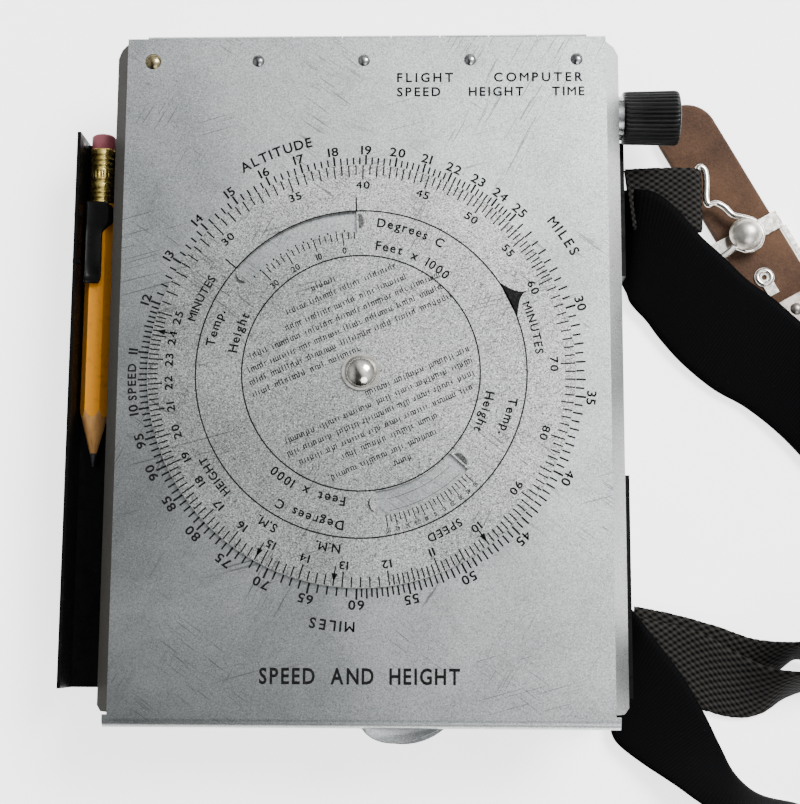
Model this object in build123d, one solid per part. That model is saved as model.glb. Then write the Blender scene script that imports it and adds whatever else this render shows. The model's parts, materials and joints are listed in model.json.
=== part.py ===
from build123d import *
import os
from math import cos, radians, sin

os.makedirs("parts", exist_ok=True)

# Knee-worn flight computer: a flat box with a hinged lid that carries a circular slide rule, a roller
# chart under a compass dial inside, a pencil tray on the left side and thigh straps on the right side.
# Millimetres. The origin is the centre of the base's underside. +X points to the knob side,
# +Y to the hinge and +Z out of the lid's face.

# Case
case_width = 134.0
case_length = 186.0
case_top = 35.4
case_corner = 3.0
wall = 1.2
base_thickness = 1.2
base_flange = 6.0

# Lid
lid_width = 136.0
lid_length = 190.5
lid_top = 38.0
lid_sheet = 1.0
lid_flange_low = 31.0
lid_flange_splay = 4.2
lid_roll = 2.4
front_roll_overhang = 1.3
finger_tab_x = (-0.8, 23.0)
finger_tab_reach = 4.6

# Hinge along the rear edge
hinge_y = 95.6
hinge_z = 33.4
knuckle_radius = 2.0
knuckle_bore = 1.0
hinge_pin_radius = 0.95
knuckle_count = 9
knuckle_pitch = 14.0
hinge_gap = 0.3
rivet_pitch = 30.1
rivet_first_x = -60.7
lid_rivet_y = 88.5

# Slide rule on the lid
rule_x = -0.6
rule_y = -1.5
rule_radius = 59.0
rule_thickness = 0.8
rule_gap = 0.3
stud_radius = 2.0
stud_fit = 0.05
stud_head_radius = 4.5
stud_washer_radius = 5.2
upper_window = (39.8, 45.5, 92.0, 140.0)
lower_window = (33.2, 39.8, -82.6, -42.4)

# Compass dial and face plate inside
face_low = 27.4
face_thickness = 1.2
face_opening = 50.0
dial_inner = 51.5
dial_outer = 60.0
dial_gap = 0.3
dial_y = -8.0

# Roller chart
roller_axis_z = 19.0
roller_span = 155.0
roller_radius = 6.5
roller_half_length = 54.0
shaft_radius = 2.5
running_gap = 0.05
belt_gap = 0.3
belt_thickness = 0.4
frame_inner_x = 60.5
frame_sheet = 1.5
knob_start = 74.6
knob_end = 90.9
knob_radius = 8.0
flute_count = 26
flute_radius = 0.75

# Pencil and its tray
tray_outer_x = -85.2
tray_low = 9.8
tray_high = 24.0
tray_sheet = 1.0
tray_y = (-88.0, 72.6)
pencil_x = -79.3
pencil_z = 15.1
pencil_flat = 7.4
pencil_tip_y = -25.2
pencil_top_y = 74.0
pencil_cone_y = -8.7
lead_bare_y = -21.4
ferrule_y = (52.8, 69.3)
lead_radius = 1.0

# Strap lugs on the right side, and the straps
lug_outer_x = 75.6
lug_sheet = 1.2
lug_z = (4.0, 12.0)
rear_lug_y = (31.7, 72.3)
front_lug_y = (-90.3, -27.0)
elastic_width = 28.0
webbing_width = 20.0
strap_thickness = 1.2
loop_height = 26.0

# Leather strip of the fastener: its rounded end's centre, direction and size
leather_start = (95.9, 78.2)
leather_direction = -60.97
leather_length = 66.9
leather_width = 18.6
leather_z = (1.1, 3.1)
ball_at = (36.4, -1.9)

case_half_x = case_width / 2
case_half_y = case_length / 2
roller_y = roller_span / 2


def save(shape, name):
    """Write one sub-part."""
    shape.label = name
    export_step(shape, os.path.join("parts", name + ".step"))


def block(x0, x1, y0, y1, z0, z1):
    """A box between two corners."""
    return Pos((x0 + x1) / 2, (y0 + y1) / 2, (z0 + z1) / 2) * Box(x1 - x0, y1 - y0, z1 - z0)


def disc(x, y, z0, z1, radius):
    """An upright cylinder."""
    return Pos(x, y, (z0 + z1) / 2) * Cylinder(radius, z1 - z0)


def rod_x(x0, x1, y, z, radius):
    """A cylinder along X."""
    return Pos((x0 + x1) / 2, y, z) * Rot(0, 90, 0) * Cylinder(radius, x1 - x0)


def rod_y(x, y0, y1, z, radius):
    """A cylinder along Y."""
    return Pos(x, (y0 + y1) / 2, z) * Rot(90, 0, 0) * Cylinder(radius, y1 - y0)


def rounded_plate(width, length, z0, z1, corner):
    """An upright prism with rounded corners, centred on the origin."""
    return Pos(0, 0, z0) * extrude(RectangleRounded(width, length, corner), z1 - z0)


def polygon_prism(points, plane, depth):
    """A prism on a closed outline drawn in the given plane."""
    return extrude(plane * make_face(Polyline(*points, close=True)), depth)


def sector(inner, outer, start, end, z0, z1):
    """Part of an upright ring round the rule's centre, between two angles."""
    def at(radius, angle):
        return (radius * cos(radians(angle)), radius * sin(radians(angle)))

    middle = (start + end) / 2
    edge = ThreePointArc(at(outer, start), at(outer, middle), at(outer, end))
    edge += Line(at(outer, end), at(inner, end))
    edge += ThreePointArc(at(inner, end), at(inner, middle), at(inner, start))
    edge += Line(at(inner, start), at(outer, start))
    return Pos(rule_x, rule_y, z0) * extrude(make_face(edge), z1 - z0)


def dome(radius, height):
    """A domed rivet head standing on the XY plane."""
    sphere_radius = (radius**2 + height**2) / (2 * height)
    ball = Pos(0, 0, height - sphere_radius) * Sphere(sphere_radius)
    return ball & (Pos(0, 0, height / 2) * Cylinder(radius, height))


def rivet(place, head_radius, head_height, shank_radius, shank_length):
    """A dome head on the local XY plane with its shank below."""
    shank = Pos(0, 0, -shank_length / 2) * Cylinder(shank_radius, shank_length)
    return place * (dome(head_radius, head_height) + shank)


def strip(points, corner_radius, width, z0, z1):
    """A flat strip of even width laid along a route of straight runs and arcs."""
    route = FilletPolyline(*points, radius=corner_radius)
    return Pos(0, 0, z0) * extrude(trace(route, line_width=width), z1 - z0)


def along_x(y, z):
    """The local Z axis turned to +X."""
    return Pos(0, y, z) * Rot(0, 90, 0)


# ---- Case ----
screw_radius = 1.0
bush_radius = 4.5
cover_head_radius = 2.2
cover_screws_at = [(x, y) for x in (-63.0, 63.0) for y in (-85.0, 0.0, 85.0)]
frame_screws_at = [(x, y) for x in (-64.0, 64.0) for y in (-60.0, 60.0)]
face_screws_at = [(x, y) for x in (-63.6, 63.6) for y in (-80.0, 0.0, 80.0)]
case_rivets_x = [rivet_first_x + rivet_pitch * i for i in range(5)]
tray_rivets_y = (-70.0, -8.0, 60.0)
lug_foot = 6.0
case_rivet_radius = 1.2
hinge_rivet_z = 25.0
tray_rivet_z = 16.0
lug_rivet_z = sum(lug_z) / 2


def lug_rivets_y(span):
    """The two rivet places of a lug, in the middle of its feet."""
    return (span[0] - lug_foot / 2, span[1] + lug_foot / 2)


def make_case():
    shell = rounded_plate(case_width, case_length, base_thickness, case_top, case_corner)
    inner = (case_width - 2 * wall, case_length - 2 * wall)
    flange_top = base_thickness + wall
    shell -= rounded_plate(*inner, flange_top, case_top, case_corner - wall)
    mouth = (inner[0] - 2 * base_flange, inner[1] - 2 * base_flange)
    shell -= rounded_plate(*mouth, base_thickness, flange_top, case_corner)
    for x, y in cover_screws_at + frame_screws_at:
        shell -= disc(x, y, base_thickness, flange_top, screw_radius)
    shell -= rod_x(case_half_x - wall, case_half_x, roller_y, roller_axis_z, bush_radius)
    for x in case_rivets_x:
        shell -= rod_y(x, case_half_y - wall, case_half_y, hinge_rivet_z, case_rivet_radius)
    for y in tray_rivets_y:
        shell -= rod_x(-case_half_x, wall - case_half_x, y, tray_rivet_z, case_rivet_radius)
    for y in lug_rivets_y(rear_lug_y) + lug_rivets_y(front_lug_y):
        shell -= rod_x(case_half_x - wall, case_half_x, y, lug_rivet_z, case_rivet_radius)
    return shell


def make_bottom_cover():
    cover = rounded_plate(case_width, case_length, 0, base_thickness, case_corner)
    for x, y in cover_screws_at:
        cover -= Pos(x, y, base_thickness / 2) * Cone(cover_head_radius, screw_radius, base_thickness)
    return cover


def make_cover_screws():
    head = Pos(0, 0, base_thickness / 2) * Cone(cover_head_radius, screw_radius, base_thickness)
    slot = block(-cover_head_radius, cover_head_radius, -0.3, 0.3, 0, 0.5)
    shank = disc(0, 0, base_thickness, base_thickness + wall, screw_radius)
    one = head - slot + shank
    return Compound([Pos(x, y, 0) * one for x, y in cover_screws_at])


save(make_case(), "case_shell")
save(make_bottom_cover(), "bottom_cover")
save(make_cover_screws(), "cover_screws")


# ---- Roller chart ----
frame_top_flange = 3.4
frame_end_y = 88.0
frame_bush_radius = 4.0
frame_low = base_thickness + wall
set_screw_radius = 1.2
set_screw_from_end = 3.0
shaft_end_x = 64.4
clip_x = 63.3
clip_thickness = 0.7
knob_nose = 1.8
knob_taper = 0.5
collar = (70.4, 74.6)
collar_radius = 6.4
spring_washer = (68.5, 70.0)
spring_washer_radius = 5.2


def make_chart_frame(side):
    x0 = frame_inner_x
    x1 = frame_inner_x + frame_sheet
    x2 = x1 + frame_top_flange
    frame = block(x0, x1, -frame_end_y, frame_end_y, frame_low, face_low)
    frame += block(x1, x2, -frame_end_y, frame_end_y, face_low - wall, face_low)
    frame += block(x1, x2, -frame_end_y, frame_end_y, frame_low, frame_low + wall)
    for y in (-roller_y, roller_y):
        frame -= rod_x(x0, x1, y, roller_axis_z, frame_bush_radius)
    if side < 0:
        frame = mirror(frame, about=Plane.YZ)
    for x, y in frame_screws_at:
        frame -= disc(x, y, frame_low, frame_low + wall, screw_radius)
    for x, y in face_screws_at:
        frame -= disc(x, y, face_low - wall, face_low, screw_radius)
    return frame


def pan_screw(x, y, seat_z, grip, head_radius=1.8, head_height=1.0):
    """A slotted pan-head screw whose head sits at seat_z."""
    head = disc(x, y, seat_z, seat_z + head_height, head_radius)
    slot = block(x - head_radius, x + head_radius, y - 0.25, y + 0.25, seat_z + 0.5, seat_z + head_height)
    return head - slot + disc(x, y, seat_z - grip, seat_z, screw_radius)


def make_roller(y):
    half = roller_half_length
    roller = rod_x(-half, half, y, roller_axis_z, roller_radius)
    return roller - rod_x(-half, half, y, roller_axis_z, shaft_radius)


def make_belt():
    def loop(radius, half):
        ends = rod_x(-half, half, roller_y, roller_axis_z, radius)
        ends += rod_x(-half, half, -roller_y, roller_axis_z, radius)
        run = block(-half, half, -roller_y, roller_y, roller_axis_z - radius, roller_axis_z + radius)
        return ends + run

    inside = roller_radius + belt_gap
    half = roller_half_length - 1.0
    return loop(inside + belt_thickness, half) - loop(inside, half)


def make_frame_bushes():
    bushes = []
    for y in (-roller_y, roller_y):
        for x in (-frame_inner_x - frame_sheet, frame_inner_x):
            ring = rod_x(x, x + frame_sheet, y, roller_axis_z, frame_bush_radius)
            bushes.append(ring - rod_x(x, x + frame_sheet, y, roller_axis_z, shaft_radius + running_gap))
    return Compound(bushes)


def make_wall_bush():
    x0 = case_half_x - wall
    bush = rod_x(x0, case_half_x, roller_y, roller_axis_z, bush_radius)
    bush += rod_x(case_half_x, case_half_x + wall, roller_y, roller_axis_z, bush_radius + 1.5)
    return bush - rod_x(x0, case_half_x + wall, roller_y, roller_axis_z, shaft_radius + running_gap)


def make_retaining_clip(x, y):
    x1 = x + clip_thickness
    ring = rod_x(x, x1, y, roller_axis_z, shaft_radius + 1.8)
    ring -= rod_x(x, x1, y, roller_axis_z, shaft_radius)
    mouth = block(x, x1, y - 1.4, y + 1.4, roller_axis_z - 5.0, roller_axis_z)
    return ring - mouth


def make_knob():
    length = knob_end - knob_start
    nose = knob_nose
    end_radius = knob_radius - knob_taper
    profile = Polyline((0, 0), (knob_radius, 0), (end_radius, length - nose))
    profile += ThreePointArc(
        (end_radius, length - nose),
        (end_radius - 0.3 * nose, length - 0.3 * nose),
        (end_radius - nose, length),
    )
    profile += Polyline((end_radius - nose, length), (0, length), (0, 0))
    body = revolve(Plane.XZ * make_face(profile), Axis.Z)
    flute = Pos(knob_radius, 0, length / 2 - 1.0) * Cylinder(flute_radius, length - 1.0)
    for i in range(flute_count):
        body -= Rot(0, 0, 360 / flute_count * i) * flute
    body -= Pos(0, 0, (length - nose) / 2) * Cylinder(shaft_radius, length - nose)
    screw_hole = Rot(0, 0, 180 / flute_count) * Pos(knob_radius / 2, 0, set_screw_from_end) * Rot(0, 90, 0)
    body -= screw_hole * Cylinder(set_screw_radius, knob_radius)
    return along_x(roller_y, roller_axis_z) * Pos(0, 0, knob_start) * body


def make_knob_set_screw():
    length = knob_radius - shaft_radius - 1.6
    middle = Pos(shaft_radius + length / 2, 0, set_screw_from_end)
    screw = Rot(0, 0, 180 / flute_count) * middle * Rot(0, 90, 0) * Cylinder(set_screw_radius, length)
    core = Cylinder(shaft_radius, 12.0)
    return along_x(roller_y, roller_axis_z) * Pos(0, 0, knob_start) * (screw - core)


save(make_chart_frame(-1), "chart_frame_left")
save(make_chart_frame(1), "chart_frame_right")
frame_screws = [pan_screw(x, y, frame_low + wall, 2 * wall, 1.2) for x, y in frame_screws_at]
save(make_roller(roller_y), "drive_roller")
save(make_roller(-roller_y), "idler_roller")
save(rod_x(-shaft_end_x, knob_end - knob_nose, roller_y, roller_axis_z, shaft_radius), "drive_shaft")
save(rod_x(-shaft_end_x, shaft_end_x, -roller_y, roller_axis_z, shaft_radius), "idler_shaft")
save(make_belt(), "chart_belt")
platen_y = roller_y - roller_radius - 2.0
platen_top = roller_axis_z + roller_radius - 0.1
platen = block(-frame_inner_x, frame_inner_x, -platen_y, platen_y, platen_top - wall, platen_top)
save(platen, "platen")
save(make_frame_bushes(), "frame_bushes")
save(make_wall_bush(), "wall_bush")
save(make_retaining_clip(-clip_x - clip_thickness, roller_y), "drive_retaining_clip")
idler_clips = [make_retaining_clip(x, -roller_y) for x in (-clip_x - clip_thickness, clip_x)]
save(Compound(idler_clips), "idler_retaining_clips")
collar_ring = rod_x(*collar, roller_y, roller_axis_z, collar_radius)
save(collar_ring - rod_x(*collar, roller_y, roller_axis_z, shaft_radius), "knob_collar")
washer_ring = rod_x(*spring_washer, roller_y, roller_axis_z, spring_washer_radius)
washer_hole = rod_x(*spring_washer, roller_y, roller_axis_z, shaft_radius + running_gap)
save(washer_ring - washer_hole, "spring_washer")
save(make_knob(), "knob")
save(make_knob_set_screw(), "knob_set_screw")


# ---- Face plate and compass dial ----
face_top = face_low + face_thickness
ring_low = face_top + dial_gap
ring_thickness = 1.2
disc_thickness = 1.2
dial_top = ring_low + ring_thickness + disc_thickness
retainer_at = [(45 + 90 * i) for i in range(4)]


def make_face_plate():
    width = case_width - 2 * wall - 0.8
    plate = rounded_plate(width, case_length - 2 * wall - 0.8, face_low, face_top, case_corner)
    plate -= disc(0, dial_y, face_low, face_top, face_opening)
    for x, y in face_screws_at:
        plate -= disc(x, y, face_low, face_top, screw_radius)
    return plate


def make_retainers():
    lip_low = dial_top + dial_gap
    post = block(dial_outer + 0.4, dial_outer + 3.4, -4.0, 4.0, face_top, lip_low)
    lip = block(dial_outer - 2.0, dial_outer + 3.4, -4.0, 4.0, lip_low, lip_low + 0.8)
    one = post + lip
    return Compound([Pos(0, dial_y, 0) * Rot(0, 0, a) * one for a in retainer_at])


save(make_face_plate(), "face_plate")
face_screws = [pan_screw(x, y, face_top, 2 * wall, 1.6) for x, y in face_screws_at]
save(Compound(frame_screws + face_screws), "chassis_screws")
azimuth = disc(0, dial_y, ring_low, ring_low + ring_thickness, dial_outer)
save(azimuth - disc(0, dial_y, ring_low, ring_low + ring_thickness, dial_inner), "azimuth_ring")
save(disc(0, dial_y, ring_low + ring_thickness, dial_top, dial_outer - 1.0), "plotting_disc")
save(make_retainers(), "dial_retainers")


# ---- Hinge ----
case_leaf_low = 20.0
lid_leaf_start_y = 83.0
leaf_thickness = 1.0


def knuckle(i, z_radius):
    """One knuckle's barrel, with a small gap to its neighbours."""
    x0 = (i - knuckle_count / 2) * knuckle_pitch + hinge_gap / 2
    return x0, x0 + knuckle_pitch - hinge_gap, rod_x(
        x0, x0 + knuckle_pitch - hinge_gap, hinge_y, hinge_z, z_radius
    )


def make_hinge_case_leaf():
    half = knuckle_count * knuckle_pitch / 2
    leaf = block(-half, half, case_half_y, case_half_y + wall, case_leaf_low, hinge_z - knuckle_radius - 0.4)
    for i in range(0, knuckle_count, 2):
        x0, x1, barrel = knuckle(i, knuckle_radius)
        leaf += block(x0, x1, case_half_y, case_half_y + wall, case_leaf_low, hinge_z) + barrel
    leaf -= rod_x(-half, half, hinge_y, hinge_z, knuckle_bore)
    for x in case_rivets_x:
        leaf -= rod_y(x, case_half_y, case_half_y + wall, hinge_rivet_z, case_rivet_radius)
    return leaf


def make_hinge_lid_leaf():
    half = knuckle_count * knuckle_pitch / 2
    low = lid_top - lid_sheet - leaf_thickness
    leaf = block(-half, half, lid_leaf_start_y, hinge_y - 0.5, low, lid_top - lid_sheet)
    for i in range(1, knuckle_count, 2):
        x0, x1, barrel = knuckle(i, knuckle_radius)
        leaf += block(x0, x1, hinge_y - 1.5, hinge_y - 0.5, hinge_z, lid_top - lid_sheet) + barrel
    leaf -= rod_x(-half, half, hinge_y, hinge_z, knuckle_bore)
    for x in case_rivets_x:
        leaf -= disc(x, lid_rivet_y, low, lid_top - lid_sheet, case_rivet_radius)
    return leaf


half_hinge = knuckle_count * knuckle_pitch / 2
save(make_hinge_case_leaf(), "hinge_case_leaf")
save(make_hinge_lid_leaf(), "hinge_lid_leaf")
save(rod_x(-half_hinge - 0.5, half_hinge + 0.5, hinge_y, hinge_z, hinge_pin_radius), "hinge_pin")
hinge_rivets = [
    rivet(Pos(x, case_half_y + wall, hinge_rivet_z) * Rot(-90, 0, 0), 2.0, 0.8, case_rivet_radius, 2 * wall)
    for x in case_rivets_x
]
save(Compound(hinge_rivets), "hinge_rivets")


# ---- Lid ----
nib_radius = 2.3
nib_sheet = 0.5
nib_lean = 52.0
relief = 2.2
flange_start = 1.6


def make_lid_shell():
    half_x = lid_width / 2
    half_y = lid_length / 2
    under = lid_top - lid_sheet
    shell = block(-half_x, half_x, -half_y, half_y, under, lid_top)
    outline = [
        (half_x - 1.5, under),
        (half_x - 0.6, under),
        (half_x + lid_flange_splay - 1.1, lid_flange_low),
        (half_x + lid_flange_splay, lid_flange_low),
        (half_x, lid_top),
        (half_x - 1.5, lid_top),
    ]
    flange_y = half_y - flange_start
    side_plane = Plane(origin=(0, flange_y, 0), x_dir=(1, 0, 0), z_dir=(0, -1, 0))
    side = polygon_prism(outline, side_plane, 2 * flange_y)
    for y, turn in ((flange_y, 45), (-flange_y, -45)):
        side -= Pos(half_x + lid_flange_splay, y, (lid_top + lid_flange_low) / 2) * (
            Rot(0, 0, turn) * Box(relief, relief, lid_top)
        )
    shell += side + mirror(side, about=Plane.YZ)
    shell += make_front_roll()
    shell += make_finger_tab()
    for x in case_rivets_x:
        shell -= disc(x, lid_rivet_y, under, lid_top, case_rivet_radius)
    return shell - disc(rule_x, rule_y, under, lid_top, stud_radius)


def make_front_roll():
    """The front edge rolls over into a short apron."""
    half_x = lid_width / 2 + front_roll_overhang
    front = -lid_length / 2
    axis_z = lid_top - lid_roll
    inner = lid_roll - lid_sheet
    lap = 1.0
    bevel = cos(radians(45))
    profile = ThreePointArc(
        (front, lid_top), (front - lid_roll * bevel, axis_z + lid_roll * bevel), (front - lid_roll, axis_z)
    )
    profile += Polyline(
        (front - lid_roll, axis_z), (front - lid_roll, lid_flange_low),
        (front - inner, lid_flange_low), (front - inner, axis_z),
    )
    profile += ThreePointArc(
        (front - inner, axis_z), (front - inner * bevel, axis_z + inner * bevel), (front, lid_top - lid_sheet)
    )
    profile += Polyline(
        (front, lid_top - lid_sheet),
        (front + lap, lid_top - lid_sheet),
        (front + lap, lid_top),
        (front, lid_top)
    )
    plane = Plane(origin=(-half_x, 0, 0), x_dir=(0, 1, 0), z_dir=(1, 0, 0))
    return extrude(plane * make_face(profile), 2 * half_x)


def make_finger_tab():
    root_y = -lid_length / 2 - lid_roll + 0.4
    x0, x1 = finger_tab_x
    tip = (x0 + 0.42 * (x1 - x0), root_y - finger_tab_reach)
    edge = ThreePointArc((x0, root_y), tip, (x1, root_y)) + Line((x1, root_y), (x0, root_y))
    return Pos(0, 0, lid_flange_low) * extrude(make_face(edge), lid_sheet)


def make_rule_disc():
    low = lid_top + rule_gap
    high = low + rule_thickness
    rule = disc(rule_x, rule_y, low, high, rule_radius)
    rule -= disc(rule_x, rule_y, low, high, stud_radius + stud_fit)
    for inner, outer, start, end in (upper_window, lower_window):
        rule -= sector(inner, outer, start, end, low, high)
        for angle, inward in ((start, 1), (end, -1)):
            rule += make_window_nib((inner + outer) / 2, angle, inward, high)
    return rule


def make_window_nib(radius, angle, inward, high):
    """A half-round ear bent up and back at the end of a window, for a fingernail or pencil point."""
    ear = Rot(90, 0, 0) * Cylinder(nib_radius, nib_sheet)
    ear &= Pos(0, 0, nib_radius / 2) * Box(2 * nib_radius, 2 * nib_sheet, nib_radius)
    place = Pos(rule_x, rule_y, 0) * Rot(0, 0, angle) * Pos(radius, -inward * nib_sheet / 2, 0)
    return place * Pos(0, 0, high - nib_sheet) * Rot(inward * nib_lean, 0, 0) * ear


disc_top = lid_top + rule_gap + rule_thickness
washer_low = disc_top + 0.2
washer_high = washer_low + 0.5
stud_low = lid_top - lid_sheet - 1.6

save(make_lid_shell(), "lid_shell")
lid_rivets = [
    rivet(Pos(x, lid_rivet_y, lid_top), 1.75, 0.9, case_rivet_radius, 2 * lid_sheet)
    for x in case_rivets_x[1:]
]
save(Compound(lid_rivets), "lid_rivets")
corner_rivet = rivet(Pos(case_rivets_x[0], lid_rivet_y, lid_top), 2.3, 1.1, case_rivet_radius, 2 * lid_sheet)
save(corner_rivet, "lid_corner_rivet")
save(make_rule_disc(), "rule_disc")
stud = Pos(rule_x, rule_y, washer_high) * dome(stud_head_radius, 2.4)
stud += disc(rule_x, rule_y, stud_low, washer_high, stud_radius)
save(stud, "rule_stud")
top_washer = disc(rule_x, rule_y, washer_low, washer_high, stud_washer_radius)
save(top_washer - disc(rule_x, rule_y, washer_low, washer_high, stud_radius), "rule_washer")
nut = disc(rule_x, rule_y, stud_low, lid_top - lid_sheet, stud_head_radius)
save(nut - disc(rule_x, rule_y, stud_low, lid_top - lid_sheet, stud_radius), "rule_backing_washer")
note_panel = block(-52.0, 52.0, -84.0, -16.0, lid_top - lid_sheet - 0.6, lid_top - lid_sheet)
save(note_panel, "note_panel")


# ---- Pencil tray and pencil ----
clip_y = (29.1, 52.6)
clip_step_y = 46.6
clip_sheet = 0.7
clip_curl = 1.2
clip_rivets_y = (34.0, 48.0)
clip_rivet_z = 21.8
clip_rivet_radius = 0.8
eraser_low_y = 61.0
eraser_radius = 3.5
ferrule_radius = 3.75
ferrule_bore = 3.2
ferrule_groove = 0.2


def make_pencil_tray():
    y0, y1 = tray_y
    tray = block(tray_outer_x, -case_half_x, y0, y1, tray_low, tray_low + wall)
    tray += block(tray_outer_x, tray_outer_x + tray_sheet, y0, y1, tray_low, tray_high)
    tray += block(-case_half_x - tray_sheet, -case_half_x, y0, y1, tray_low, tray_high - 2.0)
    for y in tray_rivets_y:
        tray -= rod_x(-case_half_x - tray_sheet, -case_half_x, y, tray_rivet_z, case_rivet_radius)
    for y in clip_rivets_y:
        tray -= rod_x(tray_outer_x, tray_outer_x + tray_sheet, y, clip_rivet_z, clip_rivet_radius)
    return tray


def make_pencil_clip():
    wall_x = tray_outer_x + tray_sheet
    y0, y1 = clip_y
    leaf_low = pencil_z + pencil_flat / 2 + 0.5
    leg = block(wall_x, wall_x + clip_sheet, y0, y1, leaf_low, tray_high)
    full = block(wall_x, pencil_x + 4.3, clip_step_y, y1, leaf_low, leaf_low + clip_sheet)
    part = block(wall_x, pencil_x + 1.6, y0, clip_step_y, leaf_low, leaf_low + clip_sheet)
    curl = rod_x(wall_x, pencil_x + 1.6, y0, leaf_low + clip_curl, clip_curl)
    curl -= rod_x(wall_x, pencil_x + 1.6, y0, leaf_low + clip_curl, clip_curl - clip_sheet)
    clip = leg + full + part + curl
    for y in clip_rivets_y:
        clip -= rod_x(wall_x, wall_x + clip_sheet, y, clip_rivet_z, clip_rivet_radius)
    return clip


def hexagon_bar(y0, y1):
    """The pencil's six-sided bar, with flats above and below."""
    return Pos(pencil_x, y1, pencil_z) * Rot(90, 0, 0) * extrude(
        RegularPolygon(pencil_flat / 2, 6, major_radius=False, rotation=0), y1 - y0
    )


def make_pencil_barrel():
    slope = (pencil_flat / 2 + 0.6) / (pencil_cone_y - pencil_tip_y)
    reach = 60.0
    point = Pos(pencil_x, pencil_tip_y + reach / 2, pencil_z) * Rot(-90, 0, 0)
    point *= Cone(0.001, slope * reach, reach)
    barrel = hexagon_bar(lead_bare_y, ferrule_y[0])
    keep = point + rod_y(pencil_x, pencil_tip_y + reach, ferrule_y[0], pencil_z, 6.0)
    barrel &= keep
    barrel += rod_y(pencil_x, ferrule_y[0], eraser_low_y, pencil_z, ferrule_bore)
    return barrel - rod_y(pencil_x, lead_bare_y - 5.0, eraser_low_y, pencil_z, lead_radius)


def make_pencil_lead():
    bare = lead_bare_y - pencil_tip_y
    point = Pos(pencil_x, (lead_bare_y + pencil_tip_y) / 2, pencil_z) * Rot(-90, 0, 0)
    core = rod_y(pencil_x, lead_bare_y, eraser_low_y, pencil_z, lead_radius)
    return point * Cone(0.2, lead_radius, bare) + core


def make_ferrule():
    y0, y1 = ferrule_y
    ferrule = rod_y(pencil_x, y0, y1, pencil_z, ferrule_radius)
    for y in (y0 + 3.2, y0 + 5.2, y1 - 5.6, y1 - 3.6):
        ring = rod_y(pencil_x, y - 0.4, y + 0.4, pencil_z, ferrule_radius + 1.0)
        ferrule -= ring - rod_y(pencil_x, y - 0.4, y + 0.4, pencil_z, ferrule_radius - ferrule_groove)
    return ferrule - rod_y(pencil_x, y0, y1, pencil_z, ferrule_bore)


save(make_pencil_tray(), "pencil_tray")
tray_rivets = [
    rivet(Pos(-case_half_x - tray_sheet, y, tray_rivet_z) * Rot(0, -90, 0), 1.9, 0.8, case_rivet_radius, 2.2)
    for y in tray_rivets_y
]
save(make_pencil_clip(), "pencil_clip")
clip_rivets = [
    rivet(Pos(tray_outer_x, y, clip_rivet_z) * Rot(0, -90, 0), 1.5, 0.6, clip_rivet_radius, 1.7)
    for y in clip_rivets_y
]
save(Compound(tray_rivets + clip_rivets), "tray_rivets")
save(make_pencil_barrel(), "pencil_barrel")
save(make_pencil_lead(), "pencil_lead")
save(make_ferrule(), "pencil_ferrule")
eraser_head = rod_y(pencil_x, ferrule_y[1], pencil_top_y, pencil_z, eraser_radius)
eraser = fillet(eraser_head.edges().sort_by(Axis.Y)[-1:], 1.0)
eraser += rod_y(pencil_x, eraser_low_y, ferrule_y[1], pencil_z, ferrule_bore)
save(eraser, "pencil_eraser")


# ---- Strap lugs ----
def make_lug(span):
    y0, y1 = span
    low, high = lug_z
    bridge_x = lug_outer_x - lug_sheet
    lug = block(bridge_x, lug_outer_x, y0, y1, low, high)
    lug += block(case_half_x, bridge_x, y0, y0 + lug_sheet, low, high)
    lug += block(case_half_x, bridge_x, y1 - lug_sheet, y1, low, high)
    lug += block(case_half_x, case_half_x + lug_sheet, y0 - lug_foot, y0, low, high)
    lug += block(case_half_x, case_half_x + lug_sheet, y1, y1 + lug_foot, low, high)
    for y in lug_rivets_y(span):
        lug -= rod_x(case_half_x, case_half_x + lug_sheet, y, lug_rivet_z, case_rivet_radius)
    return lug


save(make_lug(rear_lug_y), "strap_lug_rear")
save(make_lug(front_lug_y), "strap_lug_front")
lug_rivets = [
    rivet(Pos(case_half_x + lug_sheet, y, lug_rivet_z) * Rot(0, 90, 0), 1.9, 0.8, case_rivet_radius, 2.4)
    for y in lug_rivets_y(rear_lug_y) + lug_rivets_y(front_lug_y)
]
save(Compound(lug_rivets), "lug_rivets")


# ---- Straps, as plain solids of the space that the cloth takes ----
def lug_wrap(y0, y1):
    """The turn of strap round a lug's bridge."""
    gap = 0.2
    x0 = lug_outer_x - lug_sheet - gap
    x1 = lug_outer_x + gap
    z0 = lug_z[0] - gap
    z1 = lug_z[1] + gap
    t = strap_thickness
    return block(x0 - t, x1 + t, y0, y1, z0 - t, z1 + t) - block(x0, x1, y0, y1, z0, z1)


rear_route = [(72.0, 41.0), (88.0, 34.0), (104.0, 18.5), (133.3, -8.8)]
loop_route = [
    (134.6, -8.6), (158.0, -32.0), (167.0, -72.0), (152.0, -112.0), (126.0, -127.0), (108.0, -122.6),
]
front_route = [(76.8, -78.0), (83.0, -87.0), (94.0, -104.0), (107.4, -121.6)]
elastic_z = 3.3
rear_wrap_y = (33.4, 61.0)
front_wrap_y = (-88.8, -62.8)

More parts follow.
